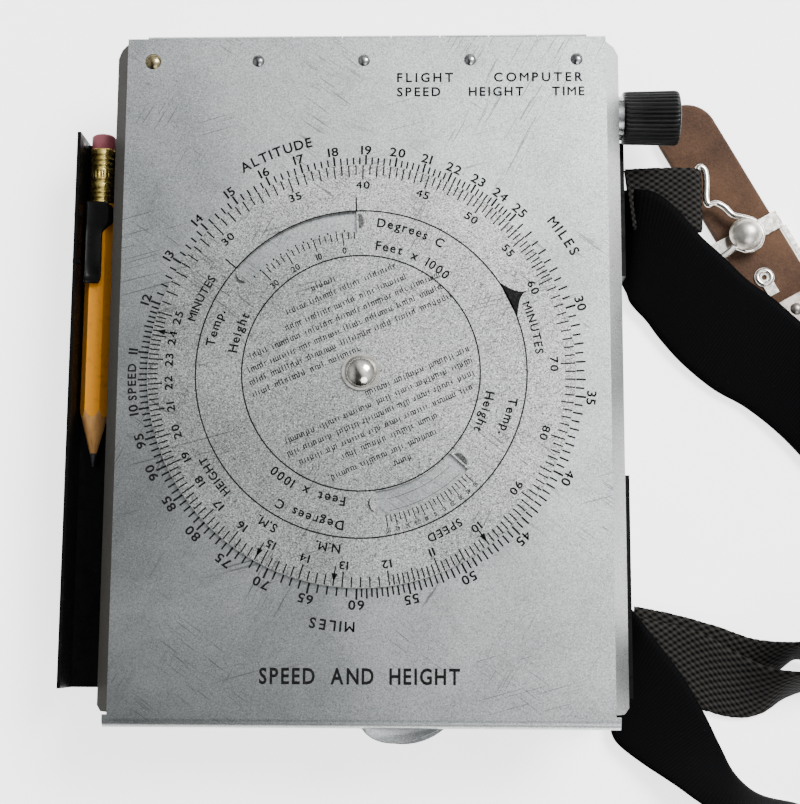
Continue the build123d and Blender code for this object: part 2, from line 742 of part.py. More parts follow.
elastic_rear = strip(rear_route, 17.0, elastic_width, elastic_z, elastic_z + strap_thickness)
elastic_rear -= block(0, lug_outer_x + 0.4, 0, 90.0, 0, 20.0)
save(elastic_rear + lug_wrap(*rear_wrap_y), "elastic_strap_rear")
save(strip(loop_route, 14.0, strap_thickness, 0.3, loop_height), "elastic_strap_loop")
elastic_front = strip(front_route, 14.0, elastic_width - 4.0, elastic_z, elastic_z + strap_thickness)
elastic_front -= block(0, lug_outer_x + 0.4, -120.0, 0, 0, 20.0)
save(elastic_front + lug_wrap(*front_wrap_y), "elastic_strap_front")
lower_webbing_route = [(80.0, -76.5), (98.0, -80.5), (114.0, -84.0), (138.0, -84.0)]
upper_webbing_route = [(79.6, -74.5), (98.0, -77.5), (118.0, -80.0), (138.0, -80.0)]
save(strip(lower_webbing_route, 20.0, webbing_width, 0.3, 1.5), "webbing_strap_lower")
save(strip(upper_webbing_route, 20.0, webbing_width, 1.7, 2.9), "webbing_strap_upper")
buckle = block(138.4, 152.0, -95.0, -69.0, 0.3, 2.5)
buckle -= block(140.4, 144.1, -92.6, -71.4, 0.3, 2.5)
buckle -= block(146.4, 150.1, -92.6, -71.4, 0.3, 2.5)
save(buckle, "webbing_buckle")

# The webbing tab is sewn on the rear elastic and folds round the fastener's wire loop.
tab_z = elastic_z + strap_thickness + 0.2
tab_hollow = 2.0
tab_high = tab_z + 2 * strap_thickness + tab_hollow
tab = block(77.8, 100.6, 46.6, 65.0, tab_z, tab_high)
tab -= block(79.0, 99.4, 46.6, 65.0, tab_z + strap_thickness, tab_high - strap_thickness)
save(tab, "webbing_tab")


# ---- Leather strip with its stud fastener ----
leather_place = Pos(*leather_start, 0) * Rot(0, 0, leather_direction)
crossbar_sheet = 0.9
neck_radius = 2.0
loop_low = tab_z + strap_thickness + 0.2
loop_wire = 1.6
ball_low = loop_low + loop_wire + 0.2
ball_radius = 5.0
crossbar_half = 2.6
crossbar_overhang = 1.6
rail_length = 18.0
eyelet_at = (49.9, -2.7)
eyelet_hole = 1.2
eyelet_flange = 2.95
eyelet_tail = (5.9, 3.4)
plate_reach = 6.0
plate_lap = 8.0
plate_low = leather_z[1] + 1.7
plate_high = plate_low + 0.9
end_rivet_x = leather_length - 4.0
end_rivets_y = (0.0, 6.5)


def make_leather():
    half = leather_width / 2
    low, high = leather_z
    leather = block(0, leather_length, -half, half, low, high) + disc(0, 0, low, high, half)
    leather -= disc(*ball_at, low, high, neck_radius)
    leather -= disc(*eyelet_at, low, high, eyelet_hole)
    for y in end_rivets_y:
        leather -= disc(end_rivet_x, y, low, high, screw_radius)
    return leather_place * leather


def make_crossbar():
    """The metal slider that wraps the strip and carries the ball stud, with a rail along one edge."""
    half = leather_width / 2 + 0.3
    low = leather_z[0] - 0.1
    high = leather_z[1] + 0.1
    x0 = ball_at[0] - crossbar_half
    x1 = ball_at[0] + crossbar_half
    t = crossbar_sheet
    bar = block(x0, x1, -half - t - crossbar_overhang, half + t, low - t, high + t)
    bar -= block(x0, x1, -half, half, low, high)
    bar += block(x1, x1 + rail_length, half + 0.1, half + 1.7, low, high)
    return leather_place * (bar - disc(*ball_at, 0, high + 2 * t, neck_radius))


def make_ball_stud():
    low = leather_z[0]
    stud_body = disc(0, 0, low, ball_low, neck_radius) + Pos(0, 0, ball_low) * dome(ball_radius, 4.0)
    return leather_place * Pos(*ball_at, 0) * stud_body


def make_wire_loop():
    """The lyre-shaped wire that the tab carries and that hooks under the ball."""
    route = [
        (98.2, 66.6), (98.2, 45.0), (103.6, 40.2), (107.6, 42.4), (114.5, 41.1),
        (117.0, 45.9), (113.8, 50.1), (108.6, 51.4), (102.4, 57.0), (102.4, 66.6),
    ]
    path = FilletPolyline(*route, radius=1.2, close=True)
    return Pos(0, 0, loop_low) * extrude(trace(path, line_width=loop_wire), loop_wire)


def make_eyelet():
    """A tubular eyelet whose flange runs out into a short tail."""
    low, high = leather_z
    reach, width = eyelet_tail
    flange = disc(0, 0, high, high + 0.5, eyelet_flange)
    flange += block(0, reach, -width / 2, width / 2, high, high + 0.5)
    barrel = disc(0, 0, low, high, eyelet_hole)
    bore = disc(0, 0, low, high + 0.5, eyelet_hole - 0.4)
    return leather_place * Pos(*eyelet_at, 0) * (flange + barrel - bore)


def make_end_plate():
    half = leather_width / 2
    x0 = leather_length - plate_lap
    plate = block(x0, leather_length + plate_reach, -half, half, plate_low, plate_high)
    for y in end_rivets_y:
        plate -= disc(end_rivet_x, y, plate_low, plate_high, screw_radius)
    return leather_place * plate


save(make_leather(), "leather_strip")
save(make_crossbar(), "fastener_crossbar")
save(make_ball_stud(), "ball_stud")
save(make_wire_loop(), "wire_loop")
save(make_eyelet(), "leather_eyelet")
save(make_end_plate(), "leather_end_plate")
plate_rivet = rivet(Pos(0, 0, plate_high), 1.8, 0.8, screw_radius, plate_high - leather_z[0])
end_rivets = [leather_place * Pos(end_rivet_x, y, 0) * plate_rivet for y in end_rivets_y]
save(Compound(end_rivets), "end_plate_rivets")
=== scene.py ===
"""Looks of a knee-worn flight computer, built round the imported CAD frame. Lengths are in metres."""
import json
import math
import random

import bmesh
import bpy
from mathutils import Matrix, Vector


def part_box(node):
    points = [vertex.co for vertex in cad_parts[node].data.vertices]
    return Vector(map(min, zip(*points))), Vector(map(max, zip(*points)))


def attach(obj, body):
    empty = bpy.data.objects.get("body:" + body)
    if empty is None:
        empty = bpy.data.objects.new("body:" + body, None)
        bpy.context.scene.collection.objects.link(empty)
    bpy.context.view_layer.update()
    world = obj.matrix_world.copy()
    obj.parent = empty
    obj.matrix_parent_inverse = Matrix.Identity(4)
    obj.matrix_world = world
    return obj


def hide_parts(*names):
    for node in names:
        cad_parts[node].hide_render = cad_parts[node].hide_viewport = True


MM = 0.001
TAU = 2 * math.pi

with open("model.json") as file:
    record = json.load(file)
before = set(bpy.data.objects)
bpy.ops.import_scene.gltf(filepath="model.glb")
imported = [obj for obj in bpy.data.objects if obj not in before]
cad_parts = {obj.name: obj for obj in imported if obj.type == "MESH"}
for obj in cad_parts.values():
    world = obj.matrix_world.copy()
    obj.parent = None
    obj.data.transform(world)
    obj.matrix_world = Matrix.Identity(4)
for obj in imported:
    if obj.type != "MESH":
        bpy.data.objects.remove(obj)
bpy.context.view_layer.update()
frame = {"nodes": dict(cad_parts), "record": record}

# Places taken from the frame
lid_low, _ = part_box("lid_shell")
disc_low, disc_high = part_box("rule_disc")
stud_low, stud_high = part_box("rule_stud")
washer_low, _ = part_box("rule_washer")
dial_low, dial_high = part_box("plotting_disc")
belt_low, belt_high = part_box("chart_belt")
panel_low, panel_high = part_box("note_panel")
rule_centre = Vector(((stud_low.x + stud_high.x) / 2, (stud_low.y + stud_high.y) / 2, 0))
rule_radius = (disc_high.x - disc_low.x) / 2

# Heights of the printed faces: the lid's, and the rule disc's a little under its washer
washer_gap = 0.2 * MM
lid_face = 38.0 * MM
disc_face = washer_low.z - washer_gap
print_height = 0.03 * MM


# ---- materials
class Nodes:
    """A short way to build the node tree of a material or a world."""

    def __init__(self, name, world=False):
        self.owner = bpy.data.worlds.new(name) if world else bpy.data.materials.new(name)
        self.owner.use_nodes = True
        self.tree = self.owner.node_tree
        self.shader = self.tree.nodes["Background" if world else "Principled BSDF"]
        self.place = self.tree.nodes.new("ShaderNodeTexCoord")

    def add(self, kind, inputs=(), **settings):
        """A new shader node with its inputs and settings."""
        node = self.tree.nodes.new("ShaderNode" + kind)
        for key, value in settings.items():
            setattr(node, key, value)
        for key, value in dict(inputs).items():
            self.put(node.inputs[key], value)
        return node

    def put(self, socket, value):
        """Links a socket to a socket, or sets a number on it."""
        if isinstance(value, bpy.types.NodeSocket):
            self.tree.links.new(value, socket)
        else:
            socket.default_value = value

    def set(self, **inputs):
        """Fills the main shader, by short names, and gives the material."""
        names = {"color": "Base Color", "rough": "Roughness", "metal": "Metallic", "coat": "Coat Weight",
                 "coat_rough": "Coat Roughness", "sheen": "Sheen Weight", "sheen_rough": "Sheen Roughness",
                 "normal": "Normal", "specular": "Specular IOR Level", "transmission": "Transmission Weight",
                 "ior": "IOR", "alpha": "Alpha"}
        for key, value in inputs.items():
            self.put(self.shader.inputs[names[key]], value)
        return self.owner

    def stretched(self, scale, turn=0.0, source="Object"):
        """Texture coordinates turned about Z, then scaled."""
        turned = self.add("VectorRotate", {"Vector": self.place.outputs[source], "Angle": turn},
                          rotation_type="Z_AXIS")
        return self.add("Mapping", {"Vector": turned.outputs["Vector"], "Scale": scale}).outputs["Vector"]

    def noise(self, scale, detail=4.0, rough=0.55, vector=None, distortion=0.0):
        """Noise over the object's own space, unless a vector is given."""
        node = self.add("TexNoise", {"Scale": scale, "Detail": detail, "Roughness": rough,
                                     "Distortion": distortion})
        self.put(node.inputs["Vector"], vector or self.place.outputs["Object"])
        return node.outputs["Fac"]

    def ramp(self, value, low, high, from_low=0.0, from_high=1.0):
        """Maps a value from one range to another, clamped at both ends."""
        node = self.add("MapRange", {"Value": value, "From Min": from_low, "From Max": from_high,
                                     "To Min": low, "To Max": high})
        return node.outputs["Result"]

    def mix(self, factor, first, second):
        """A blend of two colours."""
        node = self.add("Mix", data_type="RGBA")
        self.put(node.inputs[0], factor)
        for socket, value in ((node.inputs[6], first), (node.inputs[7], second)):
            self.put(socket, (*value, 1.0) if isinstance(value, tuple) else value)
        return node.outputs[2]

    def math(self, operation, first, second=0.5):
        """One sum on one or two values."""
        node = self.add("Math", operation=operation)
        self.put(node.inputs[0], first)
        self.put(node.inputs[1], second)
        return node.outputs[0]

    def bump(self, height, distance, strength=1.0, normal=None):
        """A normal that follows a height."""
        node = self.add("Bump", {"Strength": strength, "Distance": distance, "Height": height})
        if normal:
            self.put(node.inputs["Normal"], normal)
        return node.outputs["Normal"]


def scratches(nodes, scale, turn, sparse, stretch=30.0):
    """Thin broken lines along one direction: a mask from 0 to 1."""
    lines = nodes.noise(scale, 1.0, 0.4, nodes.stretched((1.0, 1.0 / stretch, 1.0), turn), 0.15)
    patches = nodes.noise(38.0, 2.0, 0.5, nodes.stretched((1.0, 1.0, 1.0), turn))
    fine = nodes.ramp(lines, 0.0, 1.0, sparse, sparse + 0.03)
    spots = nodes.ramp(patches, 0.0, 1.0, 0.5, 0.6)
    return nodes.math("MULTIPLY", fine, spots)


def pits(nodes, scale, share, size):
    """Small round marks in a share of random cells: a mask from 0 to 1."""
    cells = nodes.add("TexVoronoi", {"Scale": scale, "Randomness": 1.0})
    nodes.put(cells.inputs["Vector"], nodes.place.outputs["Object"])
    split = nodes.add("SeparateColor", {"Color": cells.outputs["Color"]})
    chosen = nodes.math("GREATER_THAN", split.outputs["Red"], 1.0 - share)
    dot = nodes.ramp(cells.outputs["Distance"], 1.0, 0.0, size * 0.4, size)
    return nodes.math("MULTIPLY", chosen, dot)


def sheet_metal(name, dark, light, rough, grain_depth, dent, front_left_shade=0.0):
    """Old bare aluminium: mottling, a fine grain, stains, pits and hairline scratches.

    Painted shade darkens it towards the front left, and painted shade darkens its side faces, the left ones
    most, to near black."""
    n = Nodes(name)
    broad = n.noise(16.0, 5.0, 0.6, distortion=0.4)
    grain = n.noise(2700.0, 2.0, 0.75)
    stains = n.ramp(n.noise(60.0, 6.0, 0.72, distortion=1.4), 0.0, 1.0, 0.57, 0.72)
    color = n.mix(n.ramp(broad, 0.0, 1.0, 0.3, 0.7), dark, light)
    speckle = n.math("MULTIPLY", n.ramp(grain, 0.0, 1.0, 0.4, 0.68), grain_depth)
    color = n.mix(speckle, color, (0.04, 0.04, 0.04))
    bright = n.math("MULTIPLY", n.ramp(n.noise(2400.0, 1.0, 0.5), 0.0, 1.0, 0.6, 0.72), grain_depth)
    color = n.mix(bright, color, (0.95, 0.95, 0.94))
    color = n.mix(n.math("MULTIPLY", stains, 0.3), color, (0.2, 0.2, 0.19))
    marks = n.math("MAXIMUM", scratches(n, 2300.0, 0.5, 0.65), scratches(n, 2600.0, 2.2, 0.65))
    marks = n.math("MAXIMUM", marks, scratches(n, 1900.0, 1.3, 0.67, 60.0))
    marks = n.math("MAXIMUM", marks, pits(n, 120.0, 0.3, 0.045))
    marks = n.math("MAXIMUM", marks, pits(n, 420.0, 0.12, 0.12))
    color = n.mix(n.math("MULTIPLY", marks, 0.6), color, (0.05, 0.05, 0.05))
    # Painted shade: the colour darkens towards the front left, going by X and Y in the object's own space.
    at = n.add("SeparateXYZ", {"Vector": n.place.outputs["Object"]})
    corner = n.math("ADD", at.outputs["X"], n.math("MULTIPLY", at.outputs["Y"], 0.75))
    color = n.mix(n.ramp(corner, front_left_shade, 0.0, -0.13, 0.02), color, (0.10, 0.105, 0.105))
    split = n.add("SeparateXYZ", {"Vector": n.place.outputs["Normal"]})
    # Painted shade: this mask picks the faces turned towards -X, which are painted dark below.
    left_face_shade = n.ramp(split.outputs["X"], 1.0, 0.0, -0.8, -0.5)
    # Painted shade: faces turned towards +X are darkened by up to 35%.
    color = n.mix(n.ramp(split.outputs["X"], 0.0, 0.35, 0.5, 0.8), color, (0.16, 0.16, 0.155))
    # Painted shade: faces turned towards -X are made almost black.
    color = n.mix(n.math("MULTIPLY", left_face_shade, 0.93), color, (0.022, 0.018, 0.013))
    uneven = n.math("ADD", broad, n.math("MULTIPLY", grain, 0.6))
    roughness = n.ramp(uneven, rough - 0.06, rough + 0.08, 0.6, 1.1)
    low = n.bump(n.noise(30.0, 2.0, 0.4), 0.5 * MM, dent)
    fine = n.bump(grain, 0.03 * MM, 0.5, low)
    # Painted shade: left-facing faces also lose their metal and nearly all reflection, so they stay dark.
    return n.set(color=color, metal=n.ramp(left_face_shade, 1.0, 0.0), rough=roughness, normal=fine,
                 ior=n.ramp(left_face_shade, 1.5, 1.04))


def plated(name, dark, light, rough, wear=0.25, metal=1.0):
    """A small bright metal part with tarnish in patches."""
    n = Nodes(name)
    patch = n.noise(420.0, 4.0, 0.6)
    color = n.mix(n.ramp(patch, 0.0, 1.0, 0.38, 0.7), light, dark)
    roughness = n.ramp(n.noise(900.0, 3.0, 0.6), rough, rough + wear, 0.35, 0.75)
    normal = n.bump(n.noise(2500.0, 2.0, 0.5), 0.01 * MM, 0.4)
    return n.set(color=color, metal=metal, rough=roughness, normal=normal)


def enamel(name, base, worn, rough):
    """Black paint, brushed thin and rubbed in places."""
    n = Nodes(name)
    rub = n.ramp(n.noise(160.0, 6.0, 0.7), 0.0, 1.0, 0.6, 0.72)
    color = n.mix(n.math("MULTIPLY", rub, 0.5), base, worn)
    roughness = n.ramp(n.noise(300.0, 4.0, 0.6), rough, rough + 0.25, 0.35, 0.7)
    normal = n.bump(n.noise(700.0, 3.0, 0.5), 0.03 * MM, 0.35)
    return n.set(color=color, rough=roughness, normal=normal, specular=0.09)


def moulding(name, base, light, rough, specular=0.5):
    """Moulded phenolic or plastic with a slight haze."""
    n = Nodes(name)
    color = n.mix(n.ramp(n.noise(240.0, 5.0, 0.6), 0.0, 1.0, 0.4, 0.75), base, light)
    roughness = n.ramp(n.noise(520.0, 3.0, 0.6), rough, rough + 0.18, 0.35, 0.7)
    normal = n.bump(n.noise(1800.0, 2.0, 0.5), 0.015 * MM, 0.35)
    return n.set(color=color, rough=roughness, normal=normal, specular=specular)


def ink(name, base):
    """Printed or etched marks, thinner in places."""
    n = Nodes(name)
    color = n.mix(n.ramp(n.noise(1500.0, 3.0, 0.7), 0.0, 0.35, 0.5, 0.85), base, (0.09, 0.09, 0.09))
    return n.set(color=color, rough=0.6, specular=0.06,
                 normal=n.bump(n.noise(3000.0, 2.0, 0.5), 0.005 * MM, 0.3))


def woven(name, base, light, along, across, ribs, depth, sheen):
    """Cloth with threads along and across the strap; UV runs in metres, u along it.

    Without ribs the threads cross in a staggered basket weave."""
    n = Nodes(name)
    uv = n.stretched((1.0, 1.0, 1.0), 0.0, "UV")
    split = n.add("SeparateXYZ", {"Vector": uv})
    u, v = split.outputs["X"], split.outputs["Y"]
    wobble = n.math("MULTIPLY", n.noise(500.0, 3.0, 0.6), 0.9)
    warp = n.math("SINE", n.math("ADD", n.math("MULTIPLY", v, across), wobble), 0.0)
    weft = n.math("SINE", n.math("ADD", n.math("MULTIPLY", u, along), wobble), 0.0)
    if ribs:
        weave = n.math("ADD", n.math("MULTIPLY", warp, ribs), weft)
    else:
        weave = n.math("MULTIPLY", warp, weft)
    lint = n.noise(5200.0, 2.0, 0.7)
    height = n.math("ADD", n.ramp(weave, 0.0, 1.0, -1.0, 1.0), n.math("MULTIPLY", lint, 0.5))
    # Painted shade and painted light: the colour follows the weave's height, darker in its hollows and
    # lighter on its crests.
    color = n.mix(n.ramp(height, 0.0, 1.0, 0.35, 1.25), base, light)
    fluff = n.ramp(n.noise(2600.0, 3.0, 0.75), 0.0, 1.0, 0.68, 0.74)
    color = n.mix(n.math("MULTIPLY", fluff, 0.4), color, (0.06, 0.06, 0.07))
    normal = n.bump(height, depth, 0.9)
    return n.set(color=color, rough=0.75, normal=normal, sheen=sheen, sheen_rough=0.45, specular=0.04)


def leather_finish(name, dark, light):
    """Suede-faced leather in two mottled browns with a creased grain."""
    n = Nodes(name)
    cells = n.add("TexVoronoi", {"Scale": 900.0, "Randomness": 0.95}, feature="DISTANCE_TO_EDGE")
    n.put(cells.inputs["Vector"], n.place.outputs["Object"])
    nap = n.noise(1500.0, 6.0, 0.75)
    broad = n.noise(70.0, 5.0, 0.6)
    color = n.mix(n.ramp(n.math("ADD", n.math("MULTIPLY", nap, 0.6), n.math("MULTIPLY", broad, 0.6)),
                         0.0, 1.0, 0.42, 0.78), dark, light)
    creases = n.ramp(cells.outputs["Distance"], 0.0, 1.0, 0.0, 0.3)
    height = n.math("ADD", n.math("MULTIPLY", creases, 0.4), nap)
    return n.set(color=color, rough=0.9, normal=n.bump(height, 0.12 * MM, 0.7), sheen=0.35, specular=0.2)


def pencil_finish(name, lacquer, wood):
    """Lacquer on the bar's flats, and bare wood where the sharpened cone's faces point forwards."""
    n = Nodes(name)
    split = n.add("SeparateXYZ", {"Vector": n.place.outputs["Normal"]})
    cone = n.ramp(split.outputs["Y"], 1.0, 0.0, -0.12, -0.04)
    grain = n.noise(420.0, 5.0, 0.65, n.stretched((1.0, 0.06, 1.0)))
    wood_color = n.mix(n.ramp(grain, 0.0, 1.0, 0.35, 0.7), wood, (0.42, 0.19, 0.06))
    paint = n.mix(n.ramp(n.noise(420.0, 5.0, 0.7), 0.0, 0.6, 0.52, 0.8), lacquer, (0.42, 0.15, 0.02))
    color = n.mix(cone, paint, wood_color)
    roughness = n.ramp(cone, 0.3, 0.75)
    normal = n.bump(grain, 0.05 * MM, 0.4)
    return n.set(color=color, rough=roughness, normal=normal, specular=0.25)


def clear_plastic(name):
    """Transparent sheet with fine scuffs."""
    n = Nodes(name)
    scuff = n.noise(500.0, 4.0, 0.6, n.stretched((1.0, 6.0, 1.0), 0.7))
    return n.set(color=(0.93, 0.96, 0.95, 1.0), rough=n.ramp(scuff, 0.08, 0.3, 0.45, 0.7),
                 transmission=0.95, ior=1.49, normal=n.bump(scuff, 0.01 * MM, 0.3))


def printed_cloth(name, base, dark):
    """Faded cloth with its threads along the belt."""
    n = Nodes(name)
    threads = n.noise(2200.0, 3.0, 0.6, n.stretched((1.0, 0.15, 1.0)))
    color = n.mix(n.ramp(n.noise(60.0, 5.0, 0.6), 0.0, 1.0, 0.4, 0.75), base, dark)
    return n.set(color=color, rough=0.85, normal=n.bump(threads, 0.03 * MM, 0.5), sheen=0.1)


MATERIALS = {name: make(name, *values) for make, name, *values in (
    (sheet_metal, "sheet_aluminium", (0.46, 0.48, 0.48), (0.66, 0.68, 0.68), 0.4, 0.62, 0.3, 0.55),
    (sheet_metal, "disc_aluminium", (0.45, 0.46, 0.45), (0.62, 0.63, 0.61), 0.46, 1.0, 0.15, 0.25),
    (plated, "rivet_aluminium", (0.14, 0.14, 0.14), (0.38, 0.38, 0.38), 0.14),
    (plated, "nickel", (0.58, 0.53, 0.45), (0.90, 0.87, 0.81), 0.1, 0.15),
    (plated, "satin_nickel", (0.42, 0.39, 0.34), (0.66, 0.63, 0.57), 0.34, 0.15),
    (plated, "steel", (0.13, 0.115, 0.10), (0.30, 0.27, 0.24), 0.3),
    (plated, "brass", (0.55, 0.36, 0.07), (1.0, 0.78, 0.24), 0.2),
    (plated, "dull_brass", (0.14, 0.11, 0.06), (0.38, 0.31, 0.17), 0.16),
    (enamel, "black_enamel", (0.003, 0.003, 0.003), (0.02, 0.018, 0.015), 0.2),
    (moulding, "black_moulding", (0.002, 0.002, 0.002), (0.006, 0.006, 0.006), 0.3, 0.16),
    (moulding, "dial_plastic", (0.78, 0.75, 0.66), (0.84, 0.82, 0.76), 0.45),
    (clear_plastic, "clear_plastic"),
    (printed_cloth, "chart_cloth", (0.80, 0.78, 0.68), (0.66, 0.62, 0.50)),
    (pencil_finish, "pencil_wood", (1.0, 0.37, 0.01), (0.84, 0.44, 0.14)),
    (plated, "graphite", (0.03, 0.03, 0.03), (0.09, 0.09, 0.10), 0.4, 0.2, 0.3),
    (moulding, "eraser_rubber", (0.30, 0.06, 0.08), (0.46, 0.15, 0.17), 0.65),
    (woven, "elastic", (0.0006, 0.0006, 0.0007), (0.002, 0.002, 0.0025), 7000.0, 9000.0, 0.8, 0.03 * MM, 0.0),
    (woven, "webbing", (0.001, 0.001, 0.0012), (0.036, 0.033, 0.030), 2300.0, 3300.0, 0.0, 0.3 * MM, 0.01),
    (leather_finish, "brown_leather", (0.030, 0.014, 0.008), (0.105, 0.052, 0.027)),
    (ink, "ink", (0.005, 0.005, 0.005)),
)}


def finish_cad_nodes():
    """Gives every carried-over CAD node its slot's material, smooth curves and softened edges."""
    slots = {s["node"]: s["material_slot"] for s in frame["record"]["subparts"]}
    # Three nodes look different from the rest of their slot
    finishes = {**slots, "lid_corner_rivet": "dull_brass", "knob_collar": "rivet_aluminium",
                "ball_stud": "satin_nickel"}
    soft_edge = {"sheet_aluminium": 0.35, "disc_aluminium": 0.12, "black_moulding": 0.25, "black_enamel": 0.3}
    for name, node in frame["nodes"].items():
        node.data.materials.clear()
        node.data.materials.append(MATERIALS[finishes[name]])
        node.data.polygons.foreach_set("use_smooth", [True] * len(node.data.polygons))
        bevel = node.modifiers.new("soft_edges", "BEVEL")
        bevel.width = soft_edge.get(slots[name], 0.12) * MM
        bevel.segments = 2
        bevel.limit_method = "ANGLE"
        bevel.angle_limit = math.radians(32)
        bevel.use_clamp_overlap = True
        bevel.harden_normals = True


# ---- making pieces
def add_piece(name, bm, body, slot, material=None, smooth=True):
    """Links a finished bmesh as a piece of the object that rides on a CAD body."""
    mesh = mesh_from(name, bm)
    piece = bpy.data.objects.new(name, mesh)
    bpy.context.scene.collection.objects.link(piece)
    mesh.materials.append(MATERIALS[material or slot])
    if smooth:
        mesh.polygons.foreach_set("use_smooth", [True] * len(mesh.polygons))
    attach(piece, body)
    return piece


def mesh_from(name, bm):
    """Turns a finished bmesh into a mesh with its faces outwards."""
    mesh = bpy.data.meshes.new(name)
    bmesh.ops.recalc_face_normals(bm, faces=bm.faces)
    bm.to_mesh(mesh)
    bm.free()
    return mesh


def bridge(bm, rings):
    """Quads between each closed ring of vertices and the next."""
    for a, b in zip(rings, rings[1:]):
        for k in range(len(a)):
            j = (k + 1) % len(a)
            bm.faces.new((a[k], a[j], b[j], b[k]))


class Print:
    """Flat marks on one surface, gathered into one thin mesh."""

    doubled = "M4"  # outlines with sharp inner corners, which cross themselves when swelled

    def __init__(self, centre, height, weight=0.024):
        self.bm = bmesh.new()
        self.centre = centre
        self.height = height
        self.weight = weight
        self.glyphs = {}
        self.capital = 1.0
        self.capital = self.measure_capital()

    def slab(self, outline):
        """A closed thin plate on a flat outline in the surface's own x and y."""
        low = [self.bm.verts.new((x, y, self.height)) for x, y in outline]
        high = [self.bm.verts.new((x, y, self.height + print_height)) for x, y in outline]
        self.bm.faces.new(list(reversed(low)))
        self.bm.faces.new(high)
        bridge(self.bm, [low, high])

    def polar(self, radius, angle):
        """The point at a radius and an angle about the centre."""
        return (self.centre.x + radius * math.cos(angle), self.centre.y + radius * math.sin(angle))

    def tick(self, angle, inner, outer, width):
        """A line along a radius."""
        self.line(self.polar(inner, angle), self.polar(outer, angle), width)

    def line(self, start, end, width):
        """A straight mark between two points."""
        a, b = Vector(start), Vector(end)
        sideways = Vector((-(b - a).y, (b - a).x)).normalized() * width / 2
        self.slab([tuple(a + sideways), tuple(a - sideways), tuple(b - sideways), tuple(b + sideways)])

    def arc(self, radius, start, end, width, step=math.radians(2.0)):
        """A curved mark made of short slabs."""
        count = max(2, int(abs(end - start) / step))
        for i in range(count):
            a0 = start + (end - start) * i / count
            a1 = start + (end - start) * (i + 1) / count
            self.slab([self.polar(radius - width / 2, a0), self.polar(radius + width / 2, a0),
                       self.polar(radius + width / 2, a1), self.polar(radius - width / 2, a1)])

    def glyph(self, char):
        """One character's mesh with capitals of unit height, its left edge and its width."""
        if char not in self.glyphs:
            curve = bpy.data.curves.new("glyph", "FONT")
            curve.body = char
            curve.size = 1.0
            curve.resolution_u = 3
            curve.extrude = 0.5
            curve.offset = 0.0 if char in self.doubled else self.weight
            holder = bpy.data.objects.new("glyph", curve)
            bpy.context.scene.collection.objects.link(holder)
            graph = bpy.context.evaluated_depsgraph_get()
            mesh = bpy.data.meshes.new_from_object(holder.evaluated_get(graph))
            bpy.data.objects.remove(holder)
            bpy.data.curves.remove(curve)
            mesh.transform(Matrix.Diagonal((1 / self.capital, 1 / self.capital, 1.0, 1.0)))
            xs = [v.co.x for v in mesh.vertices] or [0.0, 0.3]
            self.glyphs[char] = (mesh, min(xs), max(xs) - min(xs))
        return self.glyphs[char]

    def measure_capital(self):
        """The height of a capital letter in a font of size 1."""
        mesh = self.glyph("H")[0]
        ys = [v.co.y for v in mesh.vertices]
        self.glyphs.clear()
        bpy.data.meshes.remove(mesh)
        return max(ys) - min(ys)

    def place(self, char, height, x, y, turn, wide=1.0):
        """Stands one character at a point. A doubled one is made bold by two copies side by side."""
        mesh, left, width = self.glyph(char)
        scale = Matrix.Diagonal((height * wide, height, print_height, 1.0))
        lay = Matrix.Translation((x, y, self.height)) @ Matrix.Rotation(turn, 4, "Z")
        for shift in (-self.weight, self.weight) if char in self.doubled else (0.0,):
            known = len(self.bm.verts)
            self.bm.from_mesh(mesh)
            self.bm.verts.ensure_lookup_table()
            centre = Matrix.Translation((shift - left - width / 2, 0, 0.5))
            bmesh.ops.transform(self.bm, matrix=lay @ scale @ centre, verts=self.bm.verts[known:])

    def widths(self, text, height, gap, wide):
        """Each character's width with the gap after it."""
        return [(self.glyph(c)[2] * height * wide if c != " " else 0.6 * height) + gap for c in text]

    def curved(self, text, height, radius, degrees, gap, wide=1.0):
        """Text that reads clockwise with its feet towards the centre, about a middle angle."""
        widths = self.widths(text, height, gap, wide)
        angle = math.radians(degrees) + sum(widths) / 2 / radius
        for char, width in zip(text, widths):
            angle -= width / 2 / radius
            if char != " ":
                x, y = self.polar(radius, angle)
                self.place(char, height, x, y, angle - TAU / 4, wide)
            angle -= width / 2 / radius

    def straight(self, text, height, x0, x1, y, wide=1.0):
        """Text between two ends of a level line, spread evenly."""
        spare = x1 - x0 - sum(self.widths(text, height, 0.0, wide))
        gap = spare / (len(text) - 1)
        at = x0
        for char, width in zip(text, self.widths(text, height, 0.0, wide)):
            if char != " ":
                self.place(char, height, at + width / 2, y, 0.0, wide)
            at += width + gap

    def labels(self, rows):
        """Curved words from rows of (text, height, radius, degrees, gap), with lengths in millimetres."""
        for text, height, radius, degrees, gap in rows:
            self.curved(text, height * MM, radius * MM, degrees, gap * MM)

    def piece(self, name, body, slot, material="ink"):
        """Makes one piece of all the marks."""
        for mesh, _, _ in self.glyphs.values():
            bpy.data.meshes.remove(mesh)
        add_piece(name, self.bm, body, slot, material, smooth=False)


# ---- the scales
def scale_angle(value, ten_at):
    """Where a value lies on a one-decade circular scale that runs clockwise."""
    return math.radians(ten_at - 360.0 * math.log10(value / 10.0))


# Where the value 10 lies on each scale, in degrees, and the radii of the disc's two drawn rings
LID_TEN = 189.5
DISC_TEN = -53.4
OUTER_RING = 45.6 * MM
INNER_RING = 32.8 * MM


def decade_ticks(bands):
    """(value, rank) along a decade: rank 2 is a numbered step, 1 a middle step and 0 a small one."""
    for start, end, step, middle, major in bands:
        count = round((end - start) / step)
        for i in range(count):
            value = start + i * step
            on_major = abs(value / major - round(value / major)) < 1e-6
            on_middle = abs(value / middle - round(value / middle)) < 1e-6
            yield value, 2 if on_major else 1 if on_middle else 0


